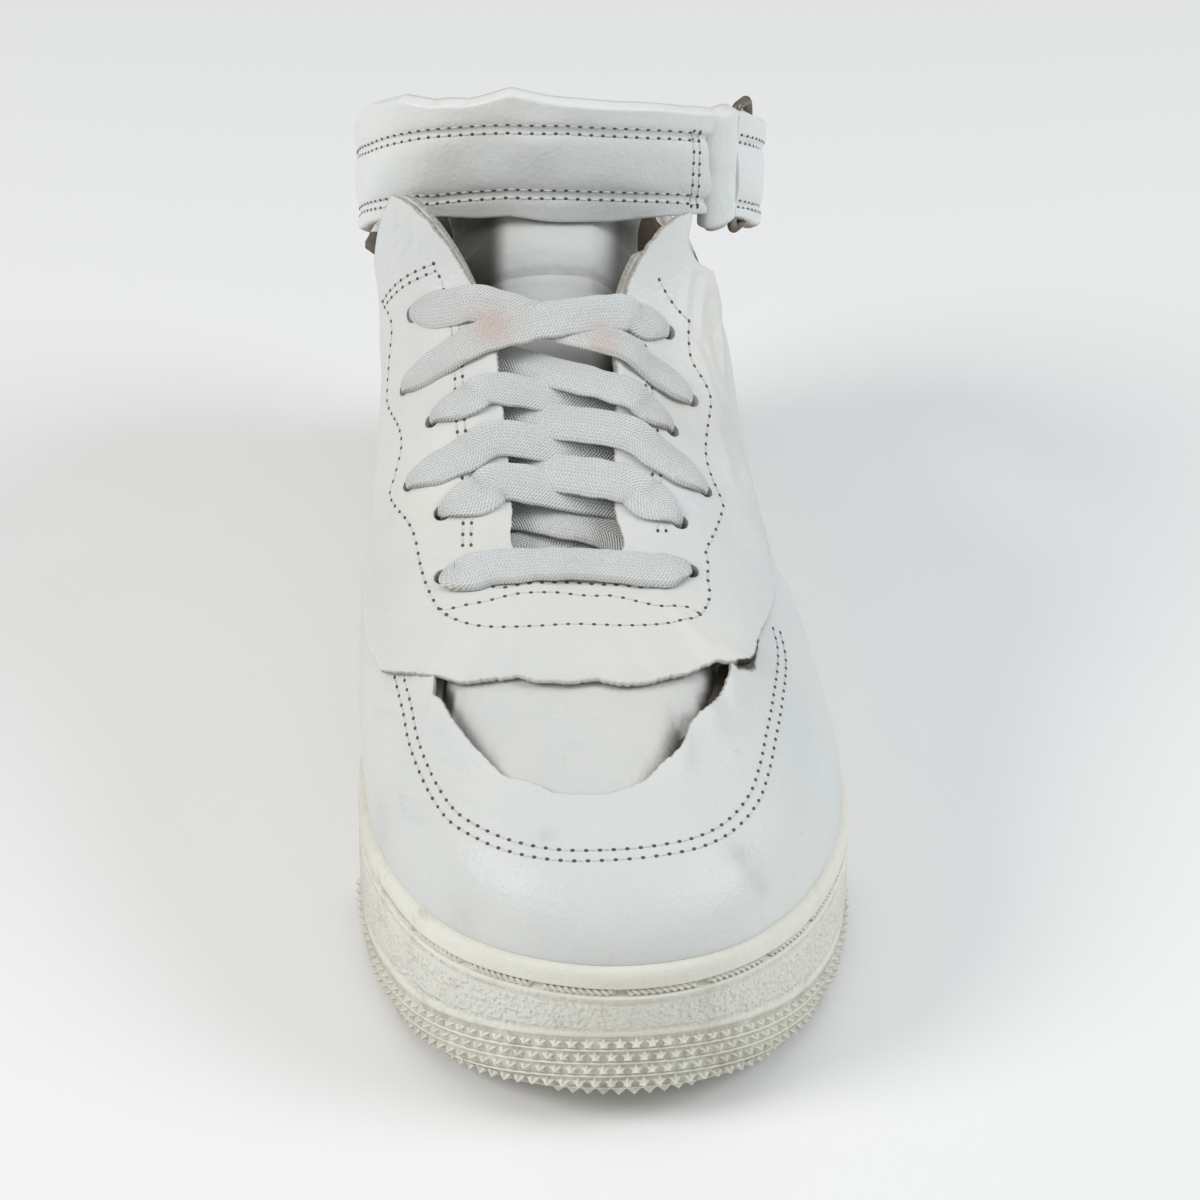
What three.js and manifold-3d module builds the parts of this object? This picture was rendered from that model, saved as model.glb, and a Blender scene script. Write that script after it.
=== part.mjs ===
// A worn out leather sneaker for the left foot: a mid height shoe on a rubber cup sole,
// laced over six rows of eyelets, with a strap that closes round the ankle through a ring.
// Millimetres, +Z up. The toe points to -Y, the inner side of the foot is -X, and the origin
// is on the floor under the middle of the shoe.

import * as THREE from 'three';
import { mergeVertices } from 'three/addons/utils/BufferGeometryUtils.js';
import Module from 'manifold-3d';

const wasm = await Module();
wasm.setup();

// ---- driving dimensions ------------------------------------------------------------------
const GAP = 0.3;              // air between two pieces that meet
const AROUND = 54;            // samples round the shoe, three to a station
const RISE = 11;              // samples from the sole's rim up to the opening
const LIP = 3.2;              // width of the cup sole's rim
const BASE = LIP + GAP;       // the upper starts this far inside the outline
const WALL = 2.6;             // leather and lining together
const FOOTBED = 16;           // cup floor above the ground under the forefoot
const HEEL_LIFT = 6;          // extra height of the cup floor at the heel
const TREAD = 6;              // thickness of the bottom rubber
const INSOLE = 4;
const OVERLAY = 1.5;          // leather laid over the upper
const RIM = 31;               // height of the cup's rim at the ball of the foot
const RIM_TOE = 7.5;          // how much higher the rim is at the toe
const RIM_HEEL = 7;           // how much higher it is at the heel
const TOE_SPRING = 8;
const HEEL_SPRING = 2;
const ARCH = 3.5;             // rise of the bottom under the inner side of the waist
const TOE_WRAP = 9;           // how far the bottom rubber climbs over the toe
const HEEL_WRAP = 5;
const CORE = 26;              // the sole's rings stop this far inside the outline
const EYELET = 4.2;           // hole diameter
const LACE_WIDTH = 7;
const LACE_THICK = 1.4;
const STRAP_HEIGHT = 28;
const STRAP_THICK = 3.2;

// Outline of the sole from above: toe tip, inner side, heel, outer side, at 18 stations.
const OUTLINE = [
  [-3, -150], [-31, -137.5], [-47.5, -109.5], [-53.5, -72], [-49.5, -31], [-41, 12],
  [-38, 55], [-39, 98], [-30, 134.5], [1, 150], [32, 134], [40, 97],
  [41.5, 53], [45.5, 9], [51, -33], [53, -75], [44.5, -111], [25.5, -139.5],
];
// At each station the wall leans out by the first number at the height of the second.
const SWELL = [
  [1, 57], [1, 56], [1.5, 55], [3, 58], [8, 62], [12, 70],
  [9, 78], [4, 78], [2, 74], [2, 72], [2, 74], [4, 78],
  [5, 78], [3, 70], [0, 58], [0, 52], [0.5, 53], [1, 55],
];
// The handle that draws the wall over the foot: x, y and height at each station.
const OVER = [
  [-5, -112, 64], [-24, -105, 63.5], [-38, -88, 65], [-46, -62, 73], [-49, -36, 86], [-49, 0, 100],
  [-48, 30, 112], [-41, 80, 102], [-29, 117, 96], [1, 139, 92], [31, 118, 94], [38, 86, 94],
  [35, 33, 106], [32, 2, 94], [33, -32, 77], [36, -62, 67], [34, -90, 61], [18, -106, 62],
];
// The edge of the opening: throat, inner ear, collar, outer ear, throat.
const OPENING = [
  [-7, -58, 76.5], [-15, -56, 77.5], [-20, -48, 80.5], [-21, -34, 90], [-22, -18, 103], [-25, 2, 118],
  [-41, 22, 130], [-41, 61, 98], [-28, 112, 99], [0, 135, 103], [27, 112, 96], [35, 62, 91],
  [25, 22, 124], [9, 2, 115], [7.5, -18, 102], [7, -34, 89], [6, -48, 79.5], [1, -56, 77],
];
// Middle of the ankle strap: over the instep, inner side, heel, outer side.
const STRAP = [
  [-4, 32, 132.5], [-31, 37.8, 131.8], [-45.5, 58, 120.5], [-44, 96, 102], [-28, 132.5, 91],
  [1, 147.3, 88], [30, 132.5, 91], [45, 96, 101.5], [44.5, 60, 117.5], [27, 39.5, 130],
];
// Middle of the tongue from its root to its top: x, y, height, half width, thickness.
const TONGUE = [
  [-7, -72, 63.5, 15, 4], [-7, -60, 69, 17, 4], [-7.5, -48, 74.5, 20, 4], [-8, -30, 84.5, 23, 4],
  [-8, -10, 95, 25, 4], [-7.5, 8, 105, 26, 5], [-7, 20, 111.5, 26, 8], [-6, 29, 116, 26, 9],
  [-5.5, 33.8, 118.2, 25, 9], [-5, 37.8, 124, 27, 8], [-5, 39.6, 134, 27, 7], [-5, 40.4, 144, 26, 4],
];
// Eyelets as station and height share, from the top row down, inner then outer side.
const EYELETS_IN = [[5.1, 0.81], [4.65, 0.73], [4.1, 0.83], [3.8, 0.73], [3.2, 0.82], [2.65, 0.78]];
const EYELETS_OUT = [
  [-4.9, 0.86], [-4.45, 0.79], [-3.95, 0.87], [-3.65, 0.78], [-2.95, 0.87], [-2.45, 0.85],
];
// Lower edge of the leather that carries the laces, as station and height share.
const STAY_EDGE = [
  [-5.8, 0.74], [-5, 0.68], [-4.2, 0.62], [-3.35, 0.57], [-2.8, 0.61], [-2.05, 0.69], [-1.6, 0.76],
  [-0.6, 0.78], [0.5, 0.79], [1.1, 0.77], [1.6, 0.72], [2.1, 0.65], [2.5, 0.57], [2.8, 0.48],
  [3.25, 0.46], [3.8, 0.48], [4.6, 0.56], [5.8, 0.68],
];
// Torn top edge of the toe leather.
const TOE_EDGE = [
  [-3.6, 0.54], [-2.7, 0.59], [-2.2, 0.65], [-1.9, 0.68], [-1.2, 0.67], [-0.9, 0.64], [-0.4, 0.56],
  [0.2, 0.52], [0.9, 0.54], [1.5, 0.58], [2, 0.61], [2.4, 0.55], [2.8, 0.46], [3.6, 0.45],
];

// ---- curves ------------------------------------------------------------------------------
const STATIONS = OUTLINE.length;
const lerp = THREE.MathUtils.lerp;
const clamp = THREE.MathUtils.clamp;
const smooth = (x) => THREE.MathUtils.smoothstep(x, 0, 1);

// Control points of the closed cubic B-spline that passes through the given rows.
function splineControls(rows) {
  const n = rows.length;
  let controls = rows.map((row) => [...row]);
  for (let pass = 0; pass < 60; pass++) {
    controls = rows.map((row, i) => row.map((value, k) => (
      (6 * value - controls[(i + n - 1) % n][k] - controls[(i + 1) % n][k]) / 4)));
  }
  return controls;
}

// A function of the station number, closed on itself, smooth through every row.
function closedCurve(rows) {
  const controls = splineControls(rows);
  const n = rows.length;
  return (station) => {
    const u = ((station % n) + n) % n;
    const i = Math.floor(u);
    const f = u - i;
    const weights = [
      (1 - f) ** 3, 3 * f ** 3 - 6 * f ** 2 + 4, -3 * f ** 3 + 3 * f ** 2 + 3 * f + 1, f ** 3];
    return rows[0].map((_, k) => weights.reduce(
      (sum, weight, j) => sum + weight * controls[(i + n - 1 + j) % n][k] / 6, 0));
  };
}

// Straight lines between rows of [position, value, ...].
function between(rows, position) {
  const last = rows.length - 1;
  const i = clamp(rows.findIndex((row) => row[0] > position), 1, last);
  const j = position >= rows[last][0] ? last : i;
  const share = clamp((position - rows[j - 1][0]) / (rows[j][0] - rows[j - 1][0]), 0, 1);
  return rows[j].slice(1).map((value, k) => lerp(rows[j - 1][k + 1], value, share));
}

const outlineAt = closedCurve(OUTLINE);
const swellAt = closedCurve(SWELL);
const overAt = closedCurve(OVER);
const openingAt = closedCurve(OPENING);
const strapAt = closedCurve(STRAP);

// A point of the outline moved inwards, square to the outline.
function inset(station, distance) {
  const [x, y] = outlineAt(station);
  const step = 1e-3;
  const [xa, ya] = outlineAt(station - step);
  const [xb, yb] = outlineAt(station + step);
  const length = Math.hypot(xb - xa, yb - ya);
  return [x + (yb - ya) / length * distance, y - (xb - xa) / length * distance];
}

// ---- heights of the sole -----------------------------------------------------------------
// How far y is past a place towards the toe or towards the heel, as a squared share of a length.
const toToe = (y, start, length) => clamp((-y - start) / length, 0, 1.1) ** 2;
const toHeel = (y, start, length) => clamp((y - start) / length, 0, 1.1) ** 2;

const rim = (y) => RIM + RIM_TOE * toToe(y, 55, 92) + RIM_HEEL * smooth((y + 25) / 170);
const spring = (y) => TOE_SPRING * toToe(y, 88, 62) + HEEL_SPRING * toHeel(y, 122, 28);
const archRise = (x, y) => ARCH * smooth((y + 45) / 45) * smooth((78 - y) / 45) * smooth((12 - x) / 45);
const bottom = (x, y) => spring(y) + archRise(x, y);
const floorOf = (y) => spring(y) * 0.7 + FOOTBED + HEEL_LIFT * smooth((y + 60) / 130);
const wrap = (y) => TOE_WRAP * toToe(y, 60, 90) + HEEL_WRAP * toHeel(y, 90, 60);
const parting = (x, y) => bottom(x, y) + TREAD + wrap(y);

// ---- solids ------------------------------------------------------------------------------
// Rings of equal length are joined one after another. A closed loft joins the last ring to the
// first; an open one has each end filled by rungs across its ring.
function loft(rings, closed = false) {
  const n = rings[0].length;
  const count = rings.length;
  const faces = [];
  for (let r = 0; r < (closed ? count : count - 1); r++) {
    for (let i = 0; i < n; i++) {
      const a = r * n + i;
      const b = r * n + (i + 1) % n;
      const c = ((r + 1) % count) * n + (i + 1) % n;
      const d = ((r + 1) % count) * n + i;
      faces.push([a, b, c], [a, c, d]);
    }
  }
  if (!closed) {
    faces.push(...rungs(n, 0).map(([a, b, c]) => [a, c, b]), ...rungs(n, (count - 1) * n));
  }
  return toGeometry(rings.flat(), faces);
}

// Triangles that fill one ring by pairing its points across.
function rungs(n, first) {
  const faces = [];
  for (let i = 0; i < n / 2; i++) {
    const [a, b, c, d] = [i, i + 1, n - 1 - i, (n - i) % n].map((k) => first + k);
    if (i + 1 < n - 1 - i) faces.push([a, b, c]);
    if (i > 0) faces.push([a, c, d]);
  }
  return faces;
}

function toGeometry(points, faces) {
  const volume = faces.reduce((sum, [a, b, c]) => (
    sum + new THREE.Vector3(...points[a]).dot(
      new THREE.Vector3(...points[b]).cross(new THREE.Vector3(...points[c])))), 0);
  const outward = volume > 0 ? faces : faces.map(([a, b, c]) => [a, c, b]);
  const geometry = new THREE.BufferGeometry();
  geometry.setAttribute('position', new THREE.Float32BufferAttribute(points.flat(), 3));
  geometry.setIndex(outward.flat());
  return geometry;
}

function toManifold(geometry) {
  const plain = geometry.clone();
  plain.deleteAttribute('normal');
  plain.deleteAttribute('uv');
  const merged = mergeVertices(plain, 1e-4);
  return new wasm.Manifold(new wasm.Mesh({
    numProp: 3,
    vertProperties: Float32Array.from(merged.attributes.position.array),
    triVerts: Uint32Array.from(merged.index.array),
  }));
}

function fromManifold(solid) {
  const { vertProperties, triVerts } = solid.getMesh();
  const geometry = new THREE.BufferGeometry();
  geometry.setAttribute('position', new THREE.Float32BufferAttribute(vertProperties, 3));
  geometry.setIndex(Array.from(triVerts));
  return geometry;
}

// ---- sole --------------------------------------------------------------------------------
const stations = Array.from({ length: AROUND }, (_, i) => i * STATIONS / AROUND);

// One ring of the sole: so far inside the outline, at a height that depends on x and y.
function soleRing(distance, height) {
  return stations.map((station) => {
    const [x, y] = inset(station, distance);
    return [x, y, height(x, y)];
  });
}

function makeOutsole() {
  const top = (x, y) => bottom(x, y) + TREAD;
  const slab = loft([
    soleRing(CORE, bottom),
    soleRing(12, bottom),
    soleRing(3, bottom),
    soleRing(0.8, (x, y) => bottom(x, y) + 1.2),
    soleRing(0, (x, y) => bottom(x, y) + 4),
    soleRing(0, parting),
    soleRing(2.6, parting),
    soleRing(2.8, top),
    soleRing(12, top),
    soleRing(CORE, top),
  ]);
  let solid = toManifold(slab);
  for (const groove of treadGrooves()) solid = solid.subtract(toManifold(groove));
  return fromManifold(solid);
}

// Straight flex grooves that part the bottom rubber into its main lugs.
function treadGrooves() {
  const places = [-104, -92, -80, -68, -56, -44, -32, 92, 104, 116];
  const [length, width, depth] = [86, 2.4, 1.8];
  return places.map((y) => new THREE.BoxGeometry(length, width, 2 * depth).translate(0, y, 0));
}

function makeMidsole() {
  const above = (height) => (x, y) => height(x, y) + GAP;
  const tread = (x, y) => bottom(x, y) + TREAD + GAP;
  const edge = (drop) => (x, y) => rim(y) - drop;
  const bed = (x, y) => floorOf(y);
  return loft([
    soleRing(CORE, tread),
    soleRing(12, tread),
    soleRing(3.2, tread),
    soleRing(3, above(parting)),
    soleRing(0, above(parting)),
    soleRing(0, edge(7.4)),
    soleRing(1, edge(6.6)),
    soleRing(1, edge(5.4)),
    soleRing(0, edge(4.6)),
    soleRing(0.2, edge(1.4)),
    soleRing(1.1, edge(0)),
    soleRing(LIP, edge(0)),
    soleRing(LIP, bed),
    soleRing(12, bed),
    soleRing(CORE, bed),
  ]);
}

function makeInsole() {
  const margin = BASE + WALL + GAP;
  const under = (x, y) => floorOf(y) + GAP;
  const top = (x, y) => floorOf(y) + GAP + INSOLE;
  return loft([
    soleRing(CORE, under), soleRing(margin, under), soleRing(margin, top), soleRing(CORE, top),
  ]);
}

// ---- upper -------------------------------------------------------------------------------
// Outer face of the upper: a cubic from the rim of the sole to the edge of the opening.
function surface(station, share) {
  const [x0, y0] = inset(station, BASE);
  const [lean, height] = swellAt(station);
  const [x1, y1] = inset(station, BASE - lean);
  const over = overAt(station);
  const edge = openingAt(station);
  const rows = [[x0, y0, rim(outlineAt(station)[1]) + 0.5], [x1, y1, height], over, edge];
  const s = 1 - share;
  const weights = [s ** 3, 3 * s * s * share, 3 * s * share * share, share ** 3];
  return [0, 1, 2].map((k) => rows.reduce((sum, row, j) => sum + weights[j] * row[k], 0));
}

// A point a given distance outside the outer face (inside when it is negative).
function lifted(station, share, distance) {
  const step = 1e-3;
  const t = clamp(share, step, 1 - step);
  const point = new THREE.Vector3(...surface(station, share));
  const at = (u, v) => new THREE.Vector3(...surface(u, v));
  const along = at(station + step, t).sub(at(station - step, t));
  const up = at(station, t + step).sub(at(station, t - step));
  return point.addScaledVector(up.cross(along).normalize(), distance).toArray();
}

// One ring of the skirt that stands in the cup, straight down from the rim.
function skirtRing(distance, height) {
  return stations.map((station) => {
    const [x, y] = inset(station, distance);
    return [x, y, height(y)];
  });
}

function makeUpper() {
  const shares = Array.from({ length: RISE + 1 }, (_, i) => i / RISE);
  const ring = (share, distance) => stations.map((station) => lifted(station, share, distance));
  const foot = (y) => floorOf(y) + GAP;
  const shell = loft([
    skirtRing(BASE, foot),
    ...shares.map((share) => ring(share, 0)),
    ...shares.toReversed().map((share) => ring(share, -WALL)),
    skirtRing(BASE + WALL, foot),
  ], true);
  return punched(shell);
}

// A patch of leather over the upper between two height shares, from one station to another.
function overlay(from, to, steps, rows, lower, upper, lift) {
  const rings = Array.from({ length: steps + 1 }, (_, i) => {
    const station = lerp(from, to, i / steps);
    const [low, high] = [lower(station), upper(station)];
    const shares = Array.from({ length: rows + 1 }, (_, k) => lerp(low, high, k / rows));
    return [
      ...shares.map((share) => lifted(station, share, lift)),
      ...shares.toReversed().map((share) => lifted(station, share, lift + OVERLAY)),
    ];
  });
  return loft(rings);
}

// Cuts the twelve eyelets through a shell.
function punched(geometry) {
  const upright = new THREE.Vector3(0, 1, 0);
  let solid = toManifold(geometry);
  for (const [station, share] of [...EYELETS_IN, ...EYELETS_OUT]) {
    const inner = new THREE.Vector3(...lifted(station, share, -WALL - 2));
    const outer = new THREE.Vector3(...lifted(station, share, OVERLAY + 2));
    const axis = outer.clone().sub(inner);
    const pin = new THREE.CylinderGeometry(EYELET / 2, EYELET / 2, axis.length(), 8);
    pin.applyQuaternion(new THREE.Quaternion().setFromUnitVectors(upright, axis.normalize()));
    pin.translate(...inner.add(outer).multiplyScalar(0.5).toArray());
    solid = solid.subtract(toManifold(pin));
  }
  return fromManifold(solid);
}

function makeLaceStay() {
  const lower = (station) => between(STAY_EDGE, station)[0];
  return punched(overlay(-5 - 2 / 3, 5 + 2 / 3, 34, 5, lower, () => 1, GAP));
}

function makeToeOverlay() {
  const upper = (station) => Math.min(between(TOE_EDGE, station)[0], between(STAY_EDGE, station)[0] - 0.03);
  return overlay(-3 - 1 / 3, 3 + 1 / 3, 20, 8, () => 0.05, upper, GAP);
}

// ---- tongue ------------------------------------------------------------------------------
// Sections across the tongue, each a shallow arch that drops towards its sides.
function makeTongue() {
  const across = 6;
  const sections = TONGUE.map(([x, y, z, half, thick], i) => {
    const [, y0, z0] = TONGUE[Math.max(i - 1, 0)];
    const [, y1, z1] = TONGUE[Math.min(i + 1, TONGUE.length - 1)];
    const length = Math.hypot(y1 - y0, z1 - z0);
    const normal = [0, -(z1 - z0) / length, (y1 - y0) / length];
    const line = (sink) => Array.from({ length: across + 1 }, (_, k) => {
      const w = 2 * k / across - 1;
      const drop = sink * (1 - 0.5 * w * w) + 0.22 * half * w * w;
      return [x + half * w, y - normal[1] * drop, z - normal[2] * drop];
    });
    return [...line(0), ...line(thick).toReversed()];
  });
  return loft(sections);
}

// ---- ankle strap -------------------------------------------------------------------------
// One section of the strap: an upright band, square to its path.
function strapSection(position, height, thickness) {
  const [x, y, z] = strapAt(position);
  const step = 1e-3;
  const [xa, ya] = strapAt(position - step);
  const [xb, yb] = strapAt(position + step);
  const length = Math.hypot(xb - xa, yb - ya);
  const normal = [-(yb - ya) / length, (xb - xa) / length];
  const corner = (side, up) => [
    x + normal[0] * side * thickness / 2, y + normal[1] * side * thickness / 2, z + up * height / 2];
  return [corner(1, -1), corner(1, 0), corner(1, 1), corner(-1, 1), corner(-1, 0), corner(-1, -1)];
}

function strapPiece(from, to, steps) {
  return loft(Array.from({ length: steps + 1 }, (_, i) => (
    strapSection(lerp(from, to, i / steps), STRAP_HEIGHT, STRAP_THICK))));
}

// A wire loop that stands upright at the outer side, with the strap folded through it.
function makeRing() {
  const [x, y, z] = strapAt(8.33);
  const [width, height, wire] = [9, STRAP_HEIGHT + 7, 2.6];
  const frame = new THREE.Shape().moveTo(-width / 2, -height / 2).lineTo(width / 2, -height / 2)
    .lineTo(width / 2, height / 2).lineTo(-width / 2, height / 2).closePath();
  frame.holes.push(new THREE.Path().moveTo(-width / 2 + wire, -height / 2 + wire)
    .lineTo(-width / 2 + wire, height / 2 - wire).lineTo(width / 2 - wire, height / 2 - wire)
    .lineTo(width / 2 - wire, -height / 2 + wire).closePath());
  const geometry = new THREE.ExtrudeGeometry(frame, { depth: wire, bevelEnabled: false });
  geometry.translate(0, 0, -wire / 2).rotateX(Math.PI / 2).rotateZ(Math.PI / 2);
  return geometry.rotateZ(-0.5).translate(x, y, z);
}

// ---- laces -------------------------------------------------------------------------------
const SLACK = 1.6;            // a flat lace doesn't lie down all the way on a curved face
const ABOVE = GAP + OVERLAY + SLACK + LACE_THICK / 2;
const BELOW = -WALL - SLACK - LACE_THICK;

const ON_TONGUE = new THREE.Vector3(0, -0.45, 0.9);

// A point of a lace's path, with the direction that faces away from the foot there.
function onLeather(station, share, lift) {
  const point = new THREE.Vector3(...lifted(station, share, lift));
  return { point, away: new THREE.Vector3(...lifted(station, share, lift + 1)).sub(point) };
}

// A flat strand through the given places, lying flat on what is under it.
function strand(places) {
  const path = new THREE.CatmullRomCurve3(places.map(({ point }) => point), false, 'centripetal');
  const face = new THREE.CatmullRomCurve3(places.map(({ away }) => away));
  const steps = 12;
  const rings = Array.from({ length: steps + 1 }, (_, i) => {
    const centre = path.getPoint(i / steps);
    const heading = path.getTangent(i / steps);
    const across = heading.clone().cross(face.getPoint(i / steps));
    across.normalize().multiplyScalar(LACE_WIDTH / 2);
    const up = across.clone().cross(heading).normalize().multiplyScalar(LACE_THICK / 2);
    return [[1, 1], [-1, 1], [-1, -1], [1, -1]].map(([a, b]) => (
      centre.clone().addScaledVector(across, a).addScaledVector(up, b).toArray()));
  });
  return toManifold(loft(rings));
}

// The station where the throat's edge passes a given y, on the inner (1) or outer (-1) side.
function throatStation(side, y) {
  let [low, high] = [1, 6];
  for (let pass = 0; pass < 30; pass++) {
    const middle = (low + high) / 2;
    if (openingAt(side * middle)[1] < y) low = middle;
    else high = middle;
  }
  return side * low;
}

// A strand that comes up through one eyelet and crosses the throat: at the top it goes on over
// the far edge to its eyelet, lower down it dives and stops short of the far edge.
function crossing(start, end, over) {
  const [startY, endY] = [surface(...start)[1], surface(...end)[1]];
  const near = throatStation(Math.sign(start[0]), lerp(startY, endY, 0.25));
  const far = throatStation(Math.sign(end[0]), lerp(startY, endY, 0.75));
  const nearHalf = [(start[0] + near) / 2, (start[1] + 1) / 2];
  const farHalf = [(end[0] + far) / 2, (end[1] + 1) / 2];
  const rise = [onLeather(...start, ABOVE), onLeather(...nearHalf, ABOVE), onLeather(near, 0.99, ABOVE)];
  if (over) {
    const fall = [onLeather(far, 0.99, ABOVE), onLeather(...farHalf, ABOVE), onLeather(...end, ABOVE)];
    return strand([...rise, ...fall]);
  }
  const dive = rise[2].point.clone().lerp(onLeather(far, 0.99, BELOW).point, 0.75);
  return strand([...rise, { point: dive, away: ON_TONGUE }]);
}

function makeLaceBar() {
  const high = ABOVE + 1;
  return fromManifold(strand([
    onLeather(...EYELETS_IN[5], high), onLeather(2.25, 0.87, high), onLeather(1.7, 0.96, high),
    onLeather(0, 1, high + 1),
    onLeather(-1.6, 0.96, high), onLeather(-2.1, 0.91, high), onLeather(...EYELETS_OUT[5], high),
  ]));
}

// Crossing number 1 joins the two lowest crossed rows, number 4 the two highest.
function makeLaceCross(number) {
  const low = 5 - number;
  const over = number === 4;
  const a = crossing(EYELETS_IN[low], EYELETS_OUT[low - 1], over);
  const b = crossing(EYELETS_OUT[low], EYELETS_IN[low - 1], over);
  return fromManifold(a.add(b));
}

// ---- the shoe ----------------------------------------------------------------------------
const finish = (color, roughness, metalness = 0) => (
  new THREE.MeshStandardMaterial({ color, roughness, metalness }));
const leather = () => finish(0xd9dde0, 0.5);
const rubber = () => finish(0xd6d3c6, 0.7);
const woven = () => finish(0xd8d9da, 0.85);

const shoe = new THREE.Group();
function add(name, geometry, material) {
  const mesh = new THREE.Mesh(geometry, material);
  mesh.name = name;
  shoe.add(mesh);
}

add('outsole', makeOutsole(), rubber());
add('midsole', makeMidsole(), rubber());
add('insole', makeInsole(), finish(0xb9b2a4, 0.9));
add('upper', makeUpper(), leather());
add('toe_overlay', makeToeOverlay(), leather());
add('lace_stay', makeLaceStay(), leather());
add('tongue', makeTongue(), leather());
add('strap_front', strapPiece(-1.42, 4.98, 36), leather());
add('strap_rear', strapPiece(5.02, 8.05, 15), leather());
add('strap_ring', makeRing(), finish(0x3a3733, 0.4, 0.8));
add('lace_bar', makeLaceBar(), woven());
for (const number of [1, 2, 3, 4]) add(`lace_cross_${number}`, makeLaceCross(number), woven());

export default shoe;
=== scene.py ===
"""A worn out leather sneaker for the left foot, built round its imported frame.

The shoe's own grid is used throughout: a station runs round the shoe in 18 steps (0 at the toe
tip, positive on the inner side, 9 at the heel, negative on the outer side), and a share runs up
the wall from the sole's rim (0) to the edge of the opening (1). Tables and sizes are in
millimetres; piece() turns them into metres.
"""

import math

import bpy
import numpy as np
from mathutils import Matrix


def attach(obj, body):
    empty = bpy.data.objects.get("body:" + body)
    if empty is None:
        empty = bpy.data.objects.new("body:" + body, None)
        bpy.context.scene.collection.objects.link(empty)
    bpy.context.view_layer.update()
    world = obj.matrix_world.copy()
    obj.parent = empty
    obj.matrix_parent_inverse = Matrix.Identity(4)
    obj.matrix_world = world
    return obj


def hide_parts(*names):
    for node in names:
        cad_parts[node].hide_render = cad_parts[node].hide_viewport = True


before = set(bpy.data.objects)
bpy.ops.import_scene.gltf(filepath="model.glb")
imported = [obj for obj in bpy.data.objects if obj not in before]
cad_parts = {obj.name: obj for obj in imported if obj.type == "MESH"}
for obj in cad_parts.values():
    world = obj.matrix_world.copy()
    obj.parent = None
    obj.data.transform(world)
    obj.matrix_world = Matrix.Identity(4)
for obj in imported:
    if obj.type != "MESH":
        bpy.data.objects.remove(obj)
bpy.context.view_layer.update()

MM = 0.001
STATIONS = 18
GAP = 0.3            # air between two pieces that meet
LIP = 3.2            # width of the cup sole's rim
BASE = LIP + GAP     # the upper starts this far inside the outline
WALL = 2.6           # leather and lining together
OVERLAY = 1.5        # leather laid over the upper
FOOTBED = 16
HEEL_LIFT = 6
TREAD = 6
INSOLE = 4
TOE_SPRING = 8
ARCH = 3.5
CORE = 26            # the sole's rings stop this far inside the outline
EYELET = 4.2         # hole diameter
LACE_WIDTH = 10
LACE_THICK = 1.2
STITCH = 2.75         # from one needle hole to the next

# ---- the shoe's tables -------------------------------------------------------------------
# Outline of the sole from above: toe tip, inner side, heel, outer side.
OUTLINE = [
    (-3, -150), (-31, -137.5), (-47.5, -109.5), (-53.5, -72), (-49.5, -31), (-41, 12),
    (-38, 55), (-39, 98), (-30, 134.5), (1, 150), (32, 134), (40, 97),
    (41.5, 53), (45.5, 9), (51, -33), (53, -75), (44.5, -111), (25.5, -139.5),
]
# At each station the wall leans out by the first number at the height of the second.
SWELL = [
    (1, 57), (1, 56), (1.5, 55), (3, 58), (8, 62), (12, 70), (9, 78), (4, 78), (2, 74),
    (2, 72), (2, 74), (4, 78), (5, 78), (3, 70), (0, 58), (0, 52), (0.5, 53), (1, 55),
]
# The handle that draws the wall over the foot.
OVER = [
    (-5, -112, 64), (-24, -105, 63.5), (-38, -88, 65), (-46, -62, 73), (-49, -36, 86),
    (-49, 0, 100), (-48, 30, 112), (-41, 80, 102), (-29, 117, 96), (1, 139, 92),
    (31, 118, 94), (38, 86, 94), (35, 33, 106), (32, 2, 94), (33, -32, 77),
    (36, -62, 67), (34, -90, 61), (18, -106, 62),
]
# The edge of the opening: throat, inner ear, collar, outer ear, throat.
OPENING = [
    (-7, -58, 76.5), (-15, -56, 77.5), (-20, -48, 80.5), (-21, -34, 90), (-22, -18, 103),
    (-25, 2, 118), (-41, 22, 130), (-41, 61, 98), (-28, 112, 99), (0, 135, 103),
    (27, 112, 96), (35, 62, 91), (25, 22, 124), (9, 2, 115), (7.5, -18, 102),
    (7, -34, 89), (6, -48, 79.5), (1, -56, 77),
]
# Middle of the ankle strap: over the instep, inner side, heel, outer side.
STRAP = [
    (-4, 32, 132.5), (-31, 37.8, 131.8), (-45.5, 58, 120.5), (-44, 96, 102), (-28, 132.5, 91),
    (1, 147.3, 88), (30, 132.5, 91), (45, 96, 101.5), (44.5, 60, 117.5), (27, 39.5, 130),
]
# Middle of the tongue from its root to its top: x, y, height, half width, thickness.
TONGUE = [
    (-7, -72, 63.5, 15, 4), (-7, -60, 69, 17, 4), (-7.5, -48, 74.5, 20, 4),
    (-8, -30, 84.5, 23, 4), (-8, -10, 95, 25, 4), (-7.5, 8, 105, 26, 5),
    (-7, 20, 111.5, 26, 8), (-6, 29, 116, 26, 9), (-5.5, 33.8, 118.2, 25, 9),
    (-5, 37.8, 124, 27, 8), (-5, 39.4, 132.5, 27, 7), (-5, 40.2, 139.5, 26, 4),
]
# Eyelets as station and share, from the top row down.
EYELETS_IN = [(5.1, 0.81), (4.65, 0.73), (4.1, 0.83), (3.8, 0.73), (3.2, 0.82), (2.65, 0.78)]
EYELETS_OUT = [
    (-4.9, 0.86), (-4.45, 0.79), (-3.95, 0.87), (-3.65, 0.78), (-2.95, 0.87), (-2.45, 0.85),
]
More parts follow.
